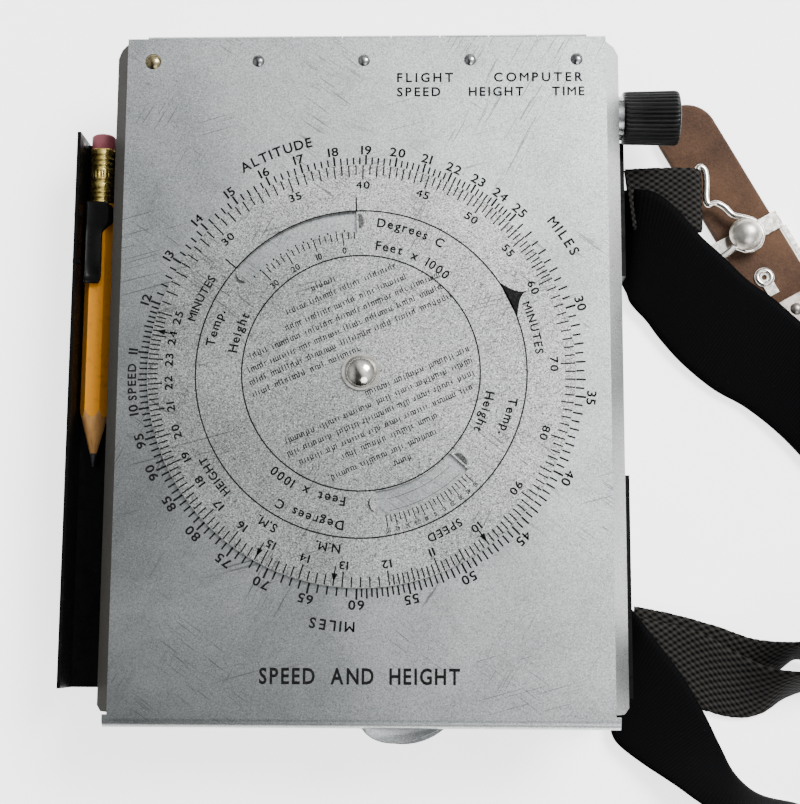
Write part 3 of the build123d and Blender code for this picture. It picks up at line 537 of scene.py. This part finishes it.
LID_BANDS = [(10, 12, 0.1, 0.5, 1), (12, 25, 0.2, 1, 1), (25, 60, 0.5, 1, 5), (60, 100, 1, 5, 5)]
DISC_BANDS = [(10, 12, 0.1, 0.5, 1), (12, 25, 0.2, 1, 1), (25, 60, 0.5, 1, 5), (60, 100, 1, 5, 10)]


def print_lid():
    """The lid's fixed outer scale, its headings and the marks that show through the disc's windows."""
    marks = Print(rule_centre, lid_face)
    lengths = {0: 2.3 * MM, 1: 2.7 * MM, 2: 3.0 * MM}
    widths = {0: 0.48 * MM, 1: 0.5 * MM, 2: 0.58 * MM}
    edge = rule_radius + 0.1 * MM
    for value, rank in decade_ticks(LID_BANDS):
        marks.tick(scale_angle(value, LID_TEN), edge, edge + lengths[rank], widths[rank])
    for value in [*range(10, 26), *range(30, 100, 5)]:
        degrees = math.degrees(scale_angle(value, LID_TEN))
        marks.curved(str(value), 2.6 * MM, 62.3 * MM, degrees, 0.4 * MM, 1.15)
    marks.labels([("ALTITUDE", 2.9, 66.2, 111.5, 0.55), ("SPEED", 2.4, 62.3, 182.4, 0.5),
                  ("MILES", 2.9, 66.8, 34.5, 0.9), ("MILES", 2.9, 68.0, -96.0, 0.9)])
    marks.straight("FLIGHT    COMPUTER", 2.75 * MM, 8.9 * MM, 61.4 * MM, 82.0 * MM)
    marks.straight("SPEED   HEIGHT   TIME", 2.7 * MM, 8.9 * MM, 61.8 * MM, 77.8 * MM)
    marks.straight("SPEED AND HEIGHT", 4.35 * MM, -27.2 * MM, 26.6 * MM, -85.9 * MM, 0.8)
    for i in range(14):
        marks.tick(math.radians(97.0 + 3.4 * i), 39.0 * MM, 40.7 * MM, 0.4 * MM)
    for radius in (35.6 * MM, 38.9 * MM):
        marks.arc(radius, math.radians(-78.0), math.radians(-46.0), 0.12 * MM)
    marks.piece("lid_print", "lid", "disc_aluminium")


def pointer_outline(marks, angle, base_radius, tip_radius, spread, steps=12):
    """A filled index mark with hollow sides that grows out of a circle."""
    outline = []
    for side in (-1, 1):
        run = []
        for i in range(steps + 1):
            t = i / steps
            radius = base_radius + (tip_radius - base_radius) * t
            run.append(marks.polar(radius, angle + side * (spread * (1 - t) ** 2.6 + 0.0035 * (1 - t))))
        outline += run if side < 0 else list(reversed(run))[1:]
    return outline


def note_lines(marks, turn, rows, seed):
    """Rows of small upright strokes in word-sized groups, standing for notes."""
    dice = random.Random(seed)
    along = Vector((math.cos(turn), math.sin(turn)))
    upward = Vector((-math.sin(turn), math.cos(turn)))
    origin = Vector(rule_centre.xy)
    pitch = 0.62 * MM
    for start, end, rise in rows:
        at = start
        while at < end:
            for _ in range(dice.randint(5, 13)):
                kind = dice.random()
                tall = 1.75 * MM if kind < 0.2 else 1.2 * MM
                foot = origin + along * at + upward * rise
                marks.line(foot, foot + upward * tall, 0.28 * MM)
                if kind > 0.45:
                    level = foot + upward * (1.1 * MM if kind < 0.8 else 0.1 * MM)
                    marks.line(level, level + along * pitch, 0.26 * MM)
                at += pitch * (1.0 if kind > 0.45 else 1.35)
            at += 1.2 * MM


def print_disc():
    """The disc's scale, rings, arrows, labels and notes."""
    marks = Print(rule_centre, disc_face)
    edge = rule_radius - 0.15 * MM
    lengths = {0: 2.8 * MM, 1: 3.5 * MM, 2: 4.1 * MM}
    for value, rank in decade_ticks(DISC_BANDS):
        marks.tick(scale_angle(value, DISC_TEN), edge - lengths[rank], edge, 0.4 * MM)
    for value in [*range(10, 26), *range(30, 61, 5), 70, 80, 90]:
        degrees = math.degrees(scale_angle(value, DISC_TEN))
        marks.curved(str(value), 2.25 * MM, 52.0 * MM, degrees, 0.38 * MM, 1.2)
    for radius in (OUTER_RING, INNER_RING):
        marks.arc(radius, 0, TAU, 0.4 * MM)
    marks.slab(pointer_outline(marks, scale_angle(60, DISC_TEN), OUTER_RING, 51.6 * MM, math.radians(7.0)))
    for value in (10.0, 13.2, 15.2, 24.2):
        angle = scale_angle(value, DISC_TEN)
        marks.tick(angle, edge - 5.4 * MM, edge - 2.4 * MM, 0.34 * MM)
        barbs = [marks.polar(edge - 3.4 * MM, angle + turn) for turn in (0.015, -0.015)]
        marks.slab([marks.polar(edge - 0.9 * MM, angle), *barbs])
    window_scales(marks)
    for turn in (0.0, 180.0):
        marks.labels([("Degrees C", 2.6, 41.2, 71.0 + turn, 0.45),
                      ("Feet x 1000", 2.6, 34.7, 66.0 + turn, 0.45),
                      ("Temp.", 2.6, 41.2, 163.0 + turn, 0.45), ("Height", 2.6, 34.7, 162.0 + turn, 0.45)])
        rows = [(-3.0, 3.0, 26.3), (-12.0, 12.0, 22.9), (-14.0, 15.0, 18.9), (-26.0, 25.0, 15.6),
                (-28.0, 26.0, 12.2), (-29.0, 27.0, 8.8), (-29.5, -1.5, 5.5)]
        spans = [(a * MM, b * MM, c * MM) for a, b, c in rows]
        note_lines(marks, math.radians(24.0 + turn), spans, 3 if turn else 7)
    marks.labels([("MINUTES", 2.35, 48.2, 14.5, 0.5), ("MINUTES", 2.35, 48.2, 155.0, 0.3),
                  ("HEIGHT", 2.35, 48.2, 216.0, 0.4), ("SPEED", 2.35, 48.2, -62.0, 0.5),
                  ("S.M.", 2.5, 47.6, -121.0, 0.35), ("N.M.", 2.5, 47.6, -100.0, 0.35)])
    marks.piece("disc_print", "rule", "disc_aluminium")


def window_scales(marks):
    """The two small scales beside the disc's windows, and the index lines at the upper one's ends."""
    for i in range(-2, 16):
        long_tick = i % 5 == 0
        marks.tick(math.radians(98.0 + 2.42 * i), (36.0 if long_tick else 37.6) * MM, 39.7 * MM, 0.34 * MM)
    for i, label in enumerate(("0", "10", "20", "30")):
        marks.curved(label, 1.8 * MM, 33.7 * MM, 98.0 + 12.1 * i, 0.1 * MM)
    for i in range(21):
        long_tick = i % 2 == 0
        marks.tick(math.radians(-44.5 - 1.76 * i), 40.0 * MM, (43.2 if long_tick else 42.0) * MM, 0.3 * MM)
    for i, label in enumerate(("50", "40", "30", "20", "10", "0", "10", "20", "30", "40", "50")):
        marks.curved(label, 1.3 * MM, 43.5 * MM, -44.5 - 3.52 * i, 0.02 * MM, 0.75)
    for degrees in (92.0, 140.0):
        marks.tick(math.radians(degrees), OUTER_RING, 49.6 * MM, 0.42 * MM)


def print_dial():
    """Degree marks on the turning compass ring."""
    centre = Vector(((dial_low.x + dial_high.x) / 2, (dial_low.y + dial_high.y) / 2, 0))
    marks = Print(centre, dial_high.z)
    outer = (dial_high.x - dial_low.x) / 2 - 0.6 * MM
    for degree in range(0, 360, 2):
        length = 3.0 if degree % 10 == 0 else 1.6
        marks.tick(math.radians(90 - degree), outer - length * MM, outer, 0.22 * MM)
    for degree in range(0, 360, 30):
        marks.curved(str(degree // 10), 1.9 * MM, outer - 6.0 * MM, 90 - degree, 0.25 * MM)
    marks.arc(5.0 * MM, 0, TAU, 0.25 * MM)
    for angle in (0, TAU / 4):
        a = marks.polar(5.0 * MM, angle)
        b = marks.polar(5.0 * MM, angle + TAU / 2)
        marks.line(a, b, 0.2 * MM)
    marks.piece("dial_print", "dial", "dial_plastic")


def print_chart():
    """Speed arcs and drift lines on the roller chart."""
    low_y = belt_low.y + 14 * MM
    marks = Print(Vector((0, low_y - 60 * MM, 0)), belt_high.z)
    for i in range(9):
        radius = (78 + 14 * i) * MM
        reach = math.asin(48.0 * MM / radius)
        marks.arc(radius, TAU / 4 - reach, TAU / 4 + reach, (0.4 if i % 2 == 0 else 0.22) * MM)
        marks.curved(str(8 + i) + "0", 2.0 * MM, radius + 0.8 * MM, 90.0, 0.3 * MM)
    for degrees in range(-15, 16, 3):
        angle = TAU / 4 + math.radians(degrees)
        marks.tick(angle, 76 * MM, 192 * MM, 0.22 * MM)
    marks.piece("chart_print", "case", "chart_cloth")


def print_notes():
    """Ruled lines on the note panel inside the lid, on its lower face."""
    marks = Print(Vector((0, 0, 0)), panel_low.z - print_height)
    rows = 8
    step = (panel_high.y - panel_low.y) / (rows + 1)
    for i in range(rows):
        y = panel_low.y + step * (i + 1)
        marks.line((panel_low.x + 5 * MM, y), (panel_high.x - 5 * MM, y), 0.25 * MM)
    marks.piece("note_lines", "lid", "dial_plastic")


# ---- straps and the fastener
def smooth_path(points, per_span=14):
    """Samples of a smooth curve through rows of numbers, with even weights at both ends."""
    rows = [Vector(p) for p in points]
    rows = [rows[0] * 2 - rows[1], *rows, rows[-1] * 2 - rows[-2]]
    samples = []
    for a, b, c, d in zip(rows, rows[1:], rows[2:], rows[3:]):
        for i in range(per_span):
            t = i / per_span
            samples.append(0.5 * (2 * b + (c - a) * t + (2 * a - 5 * b + 4 * c - d) * t**2
                                  + (3 * b - a - 3 * c + d) * t**3))
    samples.append(rows[-2])
    return samples


def band(name, stations, thickness, slot, fray=0.0, seed=1, across=14):
    """A strap whose two edges run through stations of (x, y, z, x, y, z), in millimetres, and its length."""
    dice = random.Random(seed)
    rows = smooth_path([Vector(s) for s in stations])
    bm = bmesh.new()
    uv_layer = bm.loops.layers.uv.new("UVMap")
    rings = []
    places = []
    travelled = 0.0
    for i, row in enumerate(rows):
        first, second = Vector(row[:3]) * MM, Vector(row[3:]) * MM
        before, after = rows[max(0, i - 1)], rows[min(len(rows) - 1, i + 1)]
        run = Vector(after[:3]) + Vector(after[3:]) - Vector(before[:3]) - Vector(before[3:])
        if i:
            travelled += run.length / 4 * MM
        side = second - first
        face = run.cross(side).normalized()
        width = side.length
        shares = [k / across for k in range(across + 1)]
        ring = []
        place = []
        for sign, order in ((1, shares), (-1, shares[::-1])):
            for share in order:
                edge = abs(2 * share - 1)
                thin = thickness / 2 * (1 - 0.5 * edge**12)
                wander = dice.uniform(-fray, fray) * MM * edge**12
                middle = first + side * share + side.normalized() * wander
                ring.append(bm.verts.new(middle + face * sign * thin))
                place.append((travelled, share * width))
        rings.append(ring)
        places.append(place)
    count = len(rings[0])
    for i in range(len(rings) - 1):
        for k in range(count):
            j = (k + 1) % count
            quad = bm.faces.new((rings[i][k], rings[i][j], rings[i + 1][j], rings[i + 1][k]))
            corners = (places[i][k], places[i][j], places[i + 1][j], places[i + 1][k])
            for loop, place in zip(quad.loops, corners):
                loop[uv_layer].uv = place
    bm.faces.new(list(reversed(rings[0])))
    bm.faces.new(rings[-1])
    return add_piece(name, bm, "case", slot), travelled


def elastic_strap():
    """One strap: out of the rear lug, over the tab, round on its edge and back to the front lug."""
    stations = [
        (72.9, 60.5, 11.5, 72.9, 33.5, 11.5), (72.8, 60.5, 7.5, 72.8, 33.5, 7.5),
        (73.2, 60.5, 3.9, 73.2, 33.2, 3.9), (75.0, 60.4, 2.7, 75.0, 32.0, 2.6),
        (76.8, 60.0, 4.4, 76.8, 28.5, 3.0), (80.5, 59.0, 8.8, 77.6, 26.0, 3.0),
        (86.0, 57.0, 10.6, 78.6, 24.4, 3.0), (92.0, 51.5, 10.8, 80.2, 22.6, 2.8),
        (97.9, 44.6, 10.0, 82.6, 20.0, 2.6), (104.8, 38.2, 9.2, 86.8, 14.2, 2.4),
        (111.7, 31.4, 8.6, 93.2, 7.0, 2.2), (119.5, 25.6, 8.2, 102.0, -0.4, 2.0),
        (129.0, 16.8, 8.2, 111.5, -6.0, 2.0), (138.5, 7.0, 9.6, 121.5, -14.5, 2.4),
        (148.5, -6.5, 14.0, 132.0, -26.0, 2.4), (158.5, -24.0, 20.0, 145.5, -40.0, 1.6),
        (165.4, -47.0, 25.0, 158.5, -57.0, 0.9), (167.4, -72.0, 25.8, 165.5, -76.0, 0.9),
        (162.6, -97.0, 25.8, 160.5, -97.5, 0.9), (150.6, -114.6, 25.8, 149.2, -112.8, 0.9),
        (134.5, -124.4, 25.4, 133.5, -121.4, 1.0), (119.5, -125.6, 22.5, 121.0, -119.4, 1.4),
        (107.5, -124.2, 17.5, 111.5, -117.0, 2.6), (97.0, -120.6, 13.0, 105.0, -111.5, 3.6),
        (87.0, -114.0, 8.0, 101.0, -104.0, 4.6), (78.0, -108.2, 4.8, 96.6, -94.8, 5.6),
        (71.6, -103.0, 3.6, 91.0, -84.8, 6.2), (69.8, -98.6, 3.0, 85.6, -77.4, 6.4),
        (69.8, -94.8, 2.4, 80.6, -70.6, 6.0), (71.4, -91.4, 2.4, 77.6, -66.4, 4.4),
        (73.4, -88.9, 2.6, 75.0, -64.0, 2.7), (73.0, -88.4, 5.5, 72.9, -63.4, 5.5),
        (72.9, -88.4, 11.5, 72.9, -63.2, 11.5),
    ]
    piece, length = band("elastic_strap", stations, 1.1 * MM, "elastic", seed=4)
    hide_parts("elastic_strap_rear", "elastic_strap_loop", "elastic_strap_front")


def webbing_straps():
    """Two coarse straps that turn on their edges before the buckle, and the tab folded round the wire."""
    upper = [
        (77.4, -64.2, 2.4, 77.4, -84.0, 1.8), (85.0, -65.6, 2.4, 85.0, -85.4, 1.6),
        (92.3, -67.3, 2.6, 90.0, -86.5, 1.4), (101.7, -70.1, 3.6, 97.5, -88.0, 1.2),
        (110.6, -73.4, 7.0, 107.0, -88.5, 1.2), (118.0, -74.4, 13.5, 117.0, -83.4, 1.6),
        (124.0, -74.4, 18.0, 123.5, -79.0, 1.8), (131.5, -75.4, 16.0, 130.5, -82.5, 2.0),
        (137.5, -76.0, 9.5, 136.5, -90.0, 2.6), (143.2, -74.0, 3.6, 143.2, -92.0, 3.4),
    ]
    lower = [
        (77.4, -67.2, 3.9, 77.8, -86.8, 3.2), (84.5, -68.8, 4.0, 84.5, -88.6, 3.2),
        (90.3, -69.9, 4.2, 90.5, -91.2, 2.6), (97.4, -72.4, 5.4, 97.6, -94.0, 1.6),
        (106.4, -77.8, 6.6, 106.4, -95.8, 1.2), (114.6, -81.6, 11.0, 113.6, -94.4, 1.4),
        (121.5, -82.6, 17.0, 120.2, -90.0, 1.6), (128.0, -82.4, 16.4, 127.0, -88.2, 1.8),
        (134.5, -80.5, 10.0, 133.5, -92.0, 2.6), (142.6, -76.4, 5.2, 142.6, -93.4, 5.0),
    ]
    for name, stations, seed in (("webbing_strap_upper", upper, 6), ("webbing_strap_lower", lower, 5)):
        piece, length = band(name + "_cloth", stations, 1.3 * MM, "webbing", 0.12, seed)
        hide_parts(name)
    tab = [
        (76.4, 65.8, 5.4, 78.6, 47.0, 5.4), (84.0, 65.8, 5.4, 84.0, 46.8, 5.4),
        (92.0, 65.6, 5.3, 92.0, 46.6, 5.3), (96.8, 65.4, 5.2, 96.8, 46.4, 5.2),
        (98.7, 65.3, 6.9, 98.7, 46.3, 6.9), (96.8, 65.4, 8.6, 96.8, 46.4, 8.6),
        (92.0, 65.6, 8.7, 92.0, 46.6, 8.7), (84.0, 65.8, 7.8, 84.0, 46.8, 7.8),
        (76.4, 65.8, 6.9, 78.6, 47.0, 6.9),
    ]
    piece, length = band("webbing_tab_cloth", tab, 1.1 * MM, "webbing", 0.12, 8)
    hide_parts("webbing_tab")


# The leather strip's own axes: from the centre of its round end towards its riveted end
leather_start = Vector((95.9 * MM, 78.2 * MM))
leather_angle = math.radians(-60.97)
leather_run = Vector((math.cos(leather_angle), math.sin(leather_angle)))
leather_side = Vector((-leather_run.y, leather_run.x))


def leather_strip():
    """The leather strip: a soft-edged sheet with a round end, gently waved."""
    node = frame["nodes"]["leather_strip"]
    low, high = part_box("leather_strip")
    half = 9.3 * MM
    length = 66.9 * MM
    bm = bmesh.new()
    outline = []
    for i in range(41):
        angle = TAU / 4 + math.pi * i / 40
        outline.append((half * math.cos(angle), half * math.sin(angle)))
    steps = 48
    outline += [(length * (i + 1) / steps, -half) for i in range(steps)]
    outline += [(length * (steps - i) / steps, half) for i in range(steps)]
    middle = (low.z + high.z) / 2
    half_thickness = 0.95 * MM
    layers = ((0.94, -1.0), (1.0, -0.55), (1.0, 0.45), (0.965, 0.92), (0.9, 1.0), (0.5, 1.0), (0.12, 1.0))
    rings = []
    for shrink, level in layers:
        ring = []
        for x, y in outline:
            inset = half * (1 - shrink)
            px = max(min(x, length - inset), x * shrink if x < 0 else x)
            py = y * shrink
            wave = 0.12 * MM * math.sin(px * 160.0) + 0.1 * MM * math.sin(px * 90.0 + py * 200.0)
            point = leather_start + leather_run * px + leather_side * py
            z = middle + level * half_thickness + wave * max(level, 0)
            ring.append(bm.verts.new((point.x, point.y, z)))
        rings.append(ring)
    bridge(bm, rings)
    bm.faces.new(list(reversed(rings[0])))
    bm.faces.new(rings[-1])
    piece = add_piece("leather_strip_hide", bm, "case", "brown_leather")
    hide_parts(node.name)


def tube(name, points, radius, body, slot, closed=False, sides=14):
    """A round wire through points."""
    rows = smooth_path([*points, points[0]] if closed else points, 8)
    if closed:
        rows = rows[:-1]
    bm = bmesh.new()
    rings = []
    count = len(rows)
    for i, row in enumerate(rows):
        after = rows[(i + 1) % count] if closed else rows[min(i + 1, count - 1)]
        before = rows[i - 1] if closed else rows[max(i - 1, 0)]
        run = (after - before).normalized()
        side = run.cross(Vector((0, 0, 1))).normalized()
        up = side.cross(run)
        angles = [TAU * k / sides for k in range(sides)]
        rings.append([bm.verts.new(row + (side * math.cos(a) + up * math.sin(a)) * radius) for a in angles])
    bridge(bm, [*rings, rings[0]] if closed else rings)
    if not closed:
        bm.faces.new(list(reversed(rings[0])))
        bm.faces.new(rings[-1])
    return add_piece(name, bm, body, slot)


def wire_loop():
    """The lyre-shaped wire, from the webbing tab to the ball stud and back."""
    low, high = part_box("wire_loop")
    z = (low.z + high.z) / 2
    route = [
        (97.5, 64.0), (97.3, 50.0), (97.0, 45.0), (98.6, 42.2), (101.0, 39.8), (103.8, 38.4), (106.6, 40.0),
        (108.8, 41.8), (112.4, 40.8), (115.8, 42.4), (116.6, 46.4), (114.4, 49.6), (111.0, 50.8),
        (108.2, 51.6), (105.8, 54.0), (103.4, 55.2), (101.2, 54.8), (100.5, 57.0), (100.7, 61.5),
        (100.3, 65.2), (98.7, 66.4),
    ]
    points = [Vector((x * MM, y * MM, z)) for x, y in route]
    piece = tube("wire_loop_round", points, 1.02 * MM, "case", "nickel", True)
    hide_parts("wire_loop")


def drive_knob():
    """The moulded knob: fine flutes between a plain inner rim and a rounded outer end.

    Its profile lists shares of the length, the radius as a share of the outer one, and the flutes' depth."""
    low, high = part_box("knob")
    y, z = (low.y + high.y) / 2, (low.z + high.z) / 2
    outer = (high.y - low.y) / 2
    length = high.x - low.x
    flutes = 36
    sides = flutes * 8
    bore = 2.0 * MM
    flute_depth = 0.75 * MM
    profile = [
        (0.7, bore, 0.0), (0.0, bore, 0.0), (0.0, 0.93, 0.0), (0.03, 0.96, 0.3), (0.08, 0.965, 1.0),
        (0.5, 0.982, 1.0), (0.86, 0.998, 1.0), (0.92, 1.0, 0.6), (0.96, 0.985, 0.2), (0.985, 0.95, 0.0),
        (1.0, 0.86, 0.0), (1.0, 0.5, 0.0),
    ]
    bm = bmesh.new()
    rings = []
    for share, reach, depth in profile:
        ring = []
        for k in range(sides):
            angle = TAU * k / sides
            crest = abs(math.sin(flutes * angle / 2)) ** 0.8
            radius = reach if reach == bore else reach * outer - flute_depth * depth * (1 - crest)
            around = (y + radius * math.cos(angle), z + radius * math.sin(angle))
            ring.append(bm.verts.new((low.x + share * length, *around)))
        rings.append(ring)
    bridge(bm, rings)
    bm.faces.new(rings[0])
    bm.faces.new(rings[-1])
    piece = add_piece("drive_knob_fluted", bm, "drive", "black_moulding")
    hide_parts("knob")


def eyelet_ring():
    """The rounded rim rolled over the eyelet's flange."""
    _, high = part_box("leather_eyelet")
    ring_radius = 2.1 * MM
    wire_radius = 0.75 * MM
    corners = 16
    middle = leather_start + leather_run * 49.9 * MM + leather_side * -2.7 * MM
    z = high.z - 0.1 * MM
    angles = [TAU * i / corners for i in range(corners)]
    points = [Vector((middle.x + ring_radius * math.cos(a), middle.y + ring_radius * math.sin(a), z))
              for a in angles]
    tube("eyelet_ring", points, wire_radius, "case", "nickel", True)


def smooth_step(value, low, high):
    """Rises gently from 0 at low to 1 at high."""
    t = min(1.0, max(0.0, (value - low) / (high - low)))
    return t * t * (3 - 2 * t)


def plate(name, height, across, along, thickness, body, slot):
    """A bent sheet: height(s, t) gives the middle surface's point for shares along and across it."""
    bm = bmesh.new()
    layers = []
    for sign in (1, -1):
        grid = []
        for i in range(along + 1):
            row = []
            for k in range(across + 1):
                row.append(bm.verts.new(height(i / along, k / across) + Vector((0, 0, sign * thickness / 2))))
            grid.append(row)
        layers.append(grid)
    top, low = layers
    for i in range(along):
        for k in range(across):
            bm.faces.new((top[i][k], top[i][k + 1], top[i + 1][k + 1], top[i + 1][k]))
            bm.faces.new((low[i][k], low[i + 1][k], low[i + 1][k + 1], low[i][k + 1]))
    for a, b in ((0, 0), (along, across)):
        for k in range(across):
            bm.faces.new((top[a][k], low[a][k], low[a][k + 1], top[a][k + 1]))
        for i in range(along):
            bm.faces.new((top[i][b], top[i + 1][b], low[i + 1][b], low[i][b]))
    return add_piece(name, bm, body, slot)


def pencil_clip():
    """The leaf clip: it rises to the tray's wall, narrows at a rounded step and curls up at its mouth."""
    low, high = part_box("pencil_clip")
    left = low.x + 1.6 * MM
    leaf_z = low.z + 0.35 * MM

    def height(s, t):
        y = low.y + (high.y - low.y) * s
        narrow = 1 - smooth_step(s, 0.62, 0.76)
        corner = 1.6 * MM * smooth_step(s, 0.93, 1.0)
        right = high.x - 2.9 * MM * narrow - corner - 0.5 * MM * (1 - smooth_step(s, 0.0, 0.06))
        x = left + (right - left) * t
        rise = 0.9 * MM * (1 - t) ** 4 + 0.9 * MM * (1 - smooth_step(s, 0.0, 0.13)) ** 2
        droop = 0.35 * MM * smooth_step(t, 0.8, 1.0) * (1 - narrow)
        arch = 0.35 * MM * math.sin(math.pi * t) * smooth_step(s, 0.1, 0.3)
        return Vector((x, y, leaf_z + rise + arch - droop))

    piece = plate("pencil_clip_leaf", height, 16, 40, 0.7 * MM, "case", "black_enamel")
    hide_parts("pencil_clip")


def finger_lip():
    """The dished thumb lip that runs out of the lid's rolled front edge."""
    x0, x1 = 0.0 * MM, 22.8 * MM
    root_y = lid_low.y + 6.6 * MM

    def height(s, t):
        x = x0 + (x1 - x0) * t
        swell = math.sin(math.pi * t**0.72) ** 0.75 if 0 < t < 1 else 0.0
        y = root_y - (1.0 * MM + 5.3 * MM * swell) * s
        dish = 1.3 * MM * math.sin(math.pi * t) * math.sin(math.pi * s)
        droop = (2.9 * MM * s**1.3 + 0.4 * MM) * (0.35 + 0.65 * swell)
        return Vector((x, y, lid_face - 0.75 * MM - droop - dish))

    plate("finger_lip", height, 40, 18, 0.7 * MM, "lid", "sheet_aluminium")


def pencil_ferrule():
    """The brass ferrule with its raised bands and a ring of crimped dots."""
    low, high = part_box("pencil_ferrule")
    x = (low.x + high.x) / 2
    z = (low.z + high.z) / 2
    radius = (high.x - low.x) / 2
    length = high.y - low.y
    bm = bmesh.new()
    sides = 72
    stations = 66
    rings = []
    for i in range(stations + 1):
        t = i / stations
        ring = []
        for k in range(sides):
            angle = TAU * k / sides
            reach = radius - 0.12 * MM
            for groove in (0.07, 0.16, 0.25, 0.40, 0.66, 0.76, 0.86):
                reach -= 0.26 * MM * math.exp(-((t - groove) * 44) ** 2)
            crimp = math.exp(-((t - 0.53) * 15) ** 4) * (0.5 + 0.5 * math.cos(20 * angle))
            reach -= 0.3 * MM * crimp
            around = (reach * math.cos(angle), reach * math.sin(angle))
            ring.append(bm.verts.new((x + around[0], low.y + t * length, z + around[1])))
        rings.append(ring)
    bore = 3.25 * MM
    lips = []
    for y in (low.y, high.y):
        angles = [TAU * k / sides for k in range(sides)]
        lips.append([bm.verts.new((x + bore * math.cos(a), y, z + bore * math.sin(a))) for a in angles])
    bridge(bm, [lips[0], *rings, lips[1], lips[0]])
    piece = add_piece("pencil_ferrule_banded", bm, "pencil", "brass")
    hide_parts("pencil_ferrule")


# ---- setting
def make_floor():
    """A wide pale floor that glows a little, just under the object."""
    bm = bmesh.new()
    size = 5.0
    below = -0.05 * MM
    quarters = ((-1, -1), (1, -1), (1, 1), (-1, 1))
    bm.faces.new([bm.verts.new((x * size, y * size, below)) for x, y in quarters])
    floor = bpy.data.objects.new("floor", mesh_from("floor", bm))
    bpy.context.scene.collection.objects.link(floor)
    n = Nodes("floor")
    color = n.mix(n.noise(8.0, 3.0), (0.92, 0.92, 0.915), (0.95, 0.95, 0.945))
    n.put(n.shader.inputs["Emission Color"], color)
    n.put(n.shader.inputs["Emission Strength"], 2.4)
    floor.data.materials.append(n.set(color=color, rough=0.8))


def make_camera():
    """Nearly overhead, from above the front edge, with a long lens."""
    eye = Vector((23.0, -73.7, 455.3)) * MM
    target = Vector((10.2, -9.7, 38.0)) * MM
    camera_data = bpy.data.cameras.new("camera")
    camera_data.lens = 68.96
    camera_data.sensor_width = 36.0
    camera_data.clip_start = 0.01
    camera_data.clip_end = 20.0
    camera = bpy.data.objects.new("camera", camera_data)
    bpy.context.scene.collection.objects.link(camera)
    forward = (target - eye).normalized()
    right = forward.cross(Vector((-0.005, 1.0, 0.0))).normalized()
    up = right.cross(forward)
    turn = Matrix((right, up, -forward)).transposed().to_4x4()
    camera.matrix_world = Matrix.Translation(eye) @ turn
    bpy.context.scene.camera = camera


def make_light(name, place, target, size, power, tint=(1.0, 1.0, 1.0)):
    """A round soft light that faces its target."""
    light = bpy.data.lights.new(name, "AREA")
    light.shape = "DISK"
    light.size = size
    light.energy = power
    light.color = tint
    holder = bpy.data.objects.new(name, light)
    bpy.context.scene.collection.objects.link(holder)
    aim = Vector(target) - Vector(place)
    holder.location = place
    holder.rotation_mode = "QUATERNION"
    holder.rotation_quaternion = aim.to_track_quat("-Z", "Y")


def make_lights():
    """A broad key from the rear right, a weak fill from the front, and a sky that is brightest overhead
    and to the rear right, with a low glow on the left."""
    make_light("key", (0.85, 0.65, 1.2), (0, 0, 0), 0.8, 46.0)
    make_light("fill", (0.5, -1.2, 1.0), (0, 0, 0), 1.0, 11.0, (0.96, 0.98, 1.0))
    n = Nodes("studio", world=True)
    direction = n.place.outputs["Generated"]
    split = n.add("SeparateXYZ", {"Vector": direction})
    lean = n.add("VectorMath", {0: direction, 1: (3.4, 2.0, 0.0)}, operation="DOT_PRODUCT")
    overhead = n.ramp(split.outputs["Z"], 0.12, 0.7, 0.1, 0.95)
    across = n.ramp(lean.outputs["Value"], 0.12, 2.2, -0.88, 1.2)
    low_left = n.ramp(split.outputs["X"], 0.0, 1.8, -0.45, -0.9)
    n.put(n.shader.inputs["Strength"], n.math("MULTIPLY", overhead, n.math("ADD", across, low_left)))
    n.put(n.shader.inputs["Color"], (0.94, 0.97, 1.0, 1.0))
    bpy.context.scene.world = n.owner


make_camera()
elastic_strap()
webbing_straps()
leather_strip()
wire_loop()
eyelet_ring()
pencil_ferrule()
pencil_clip()
drive_knob()
finger_lip()
print_lid()
print_disc()
print_dial()
print_chart()
print_notes()
finish_cad_nodes()
make_floor()
make_lights()
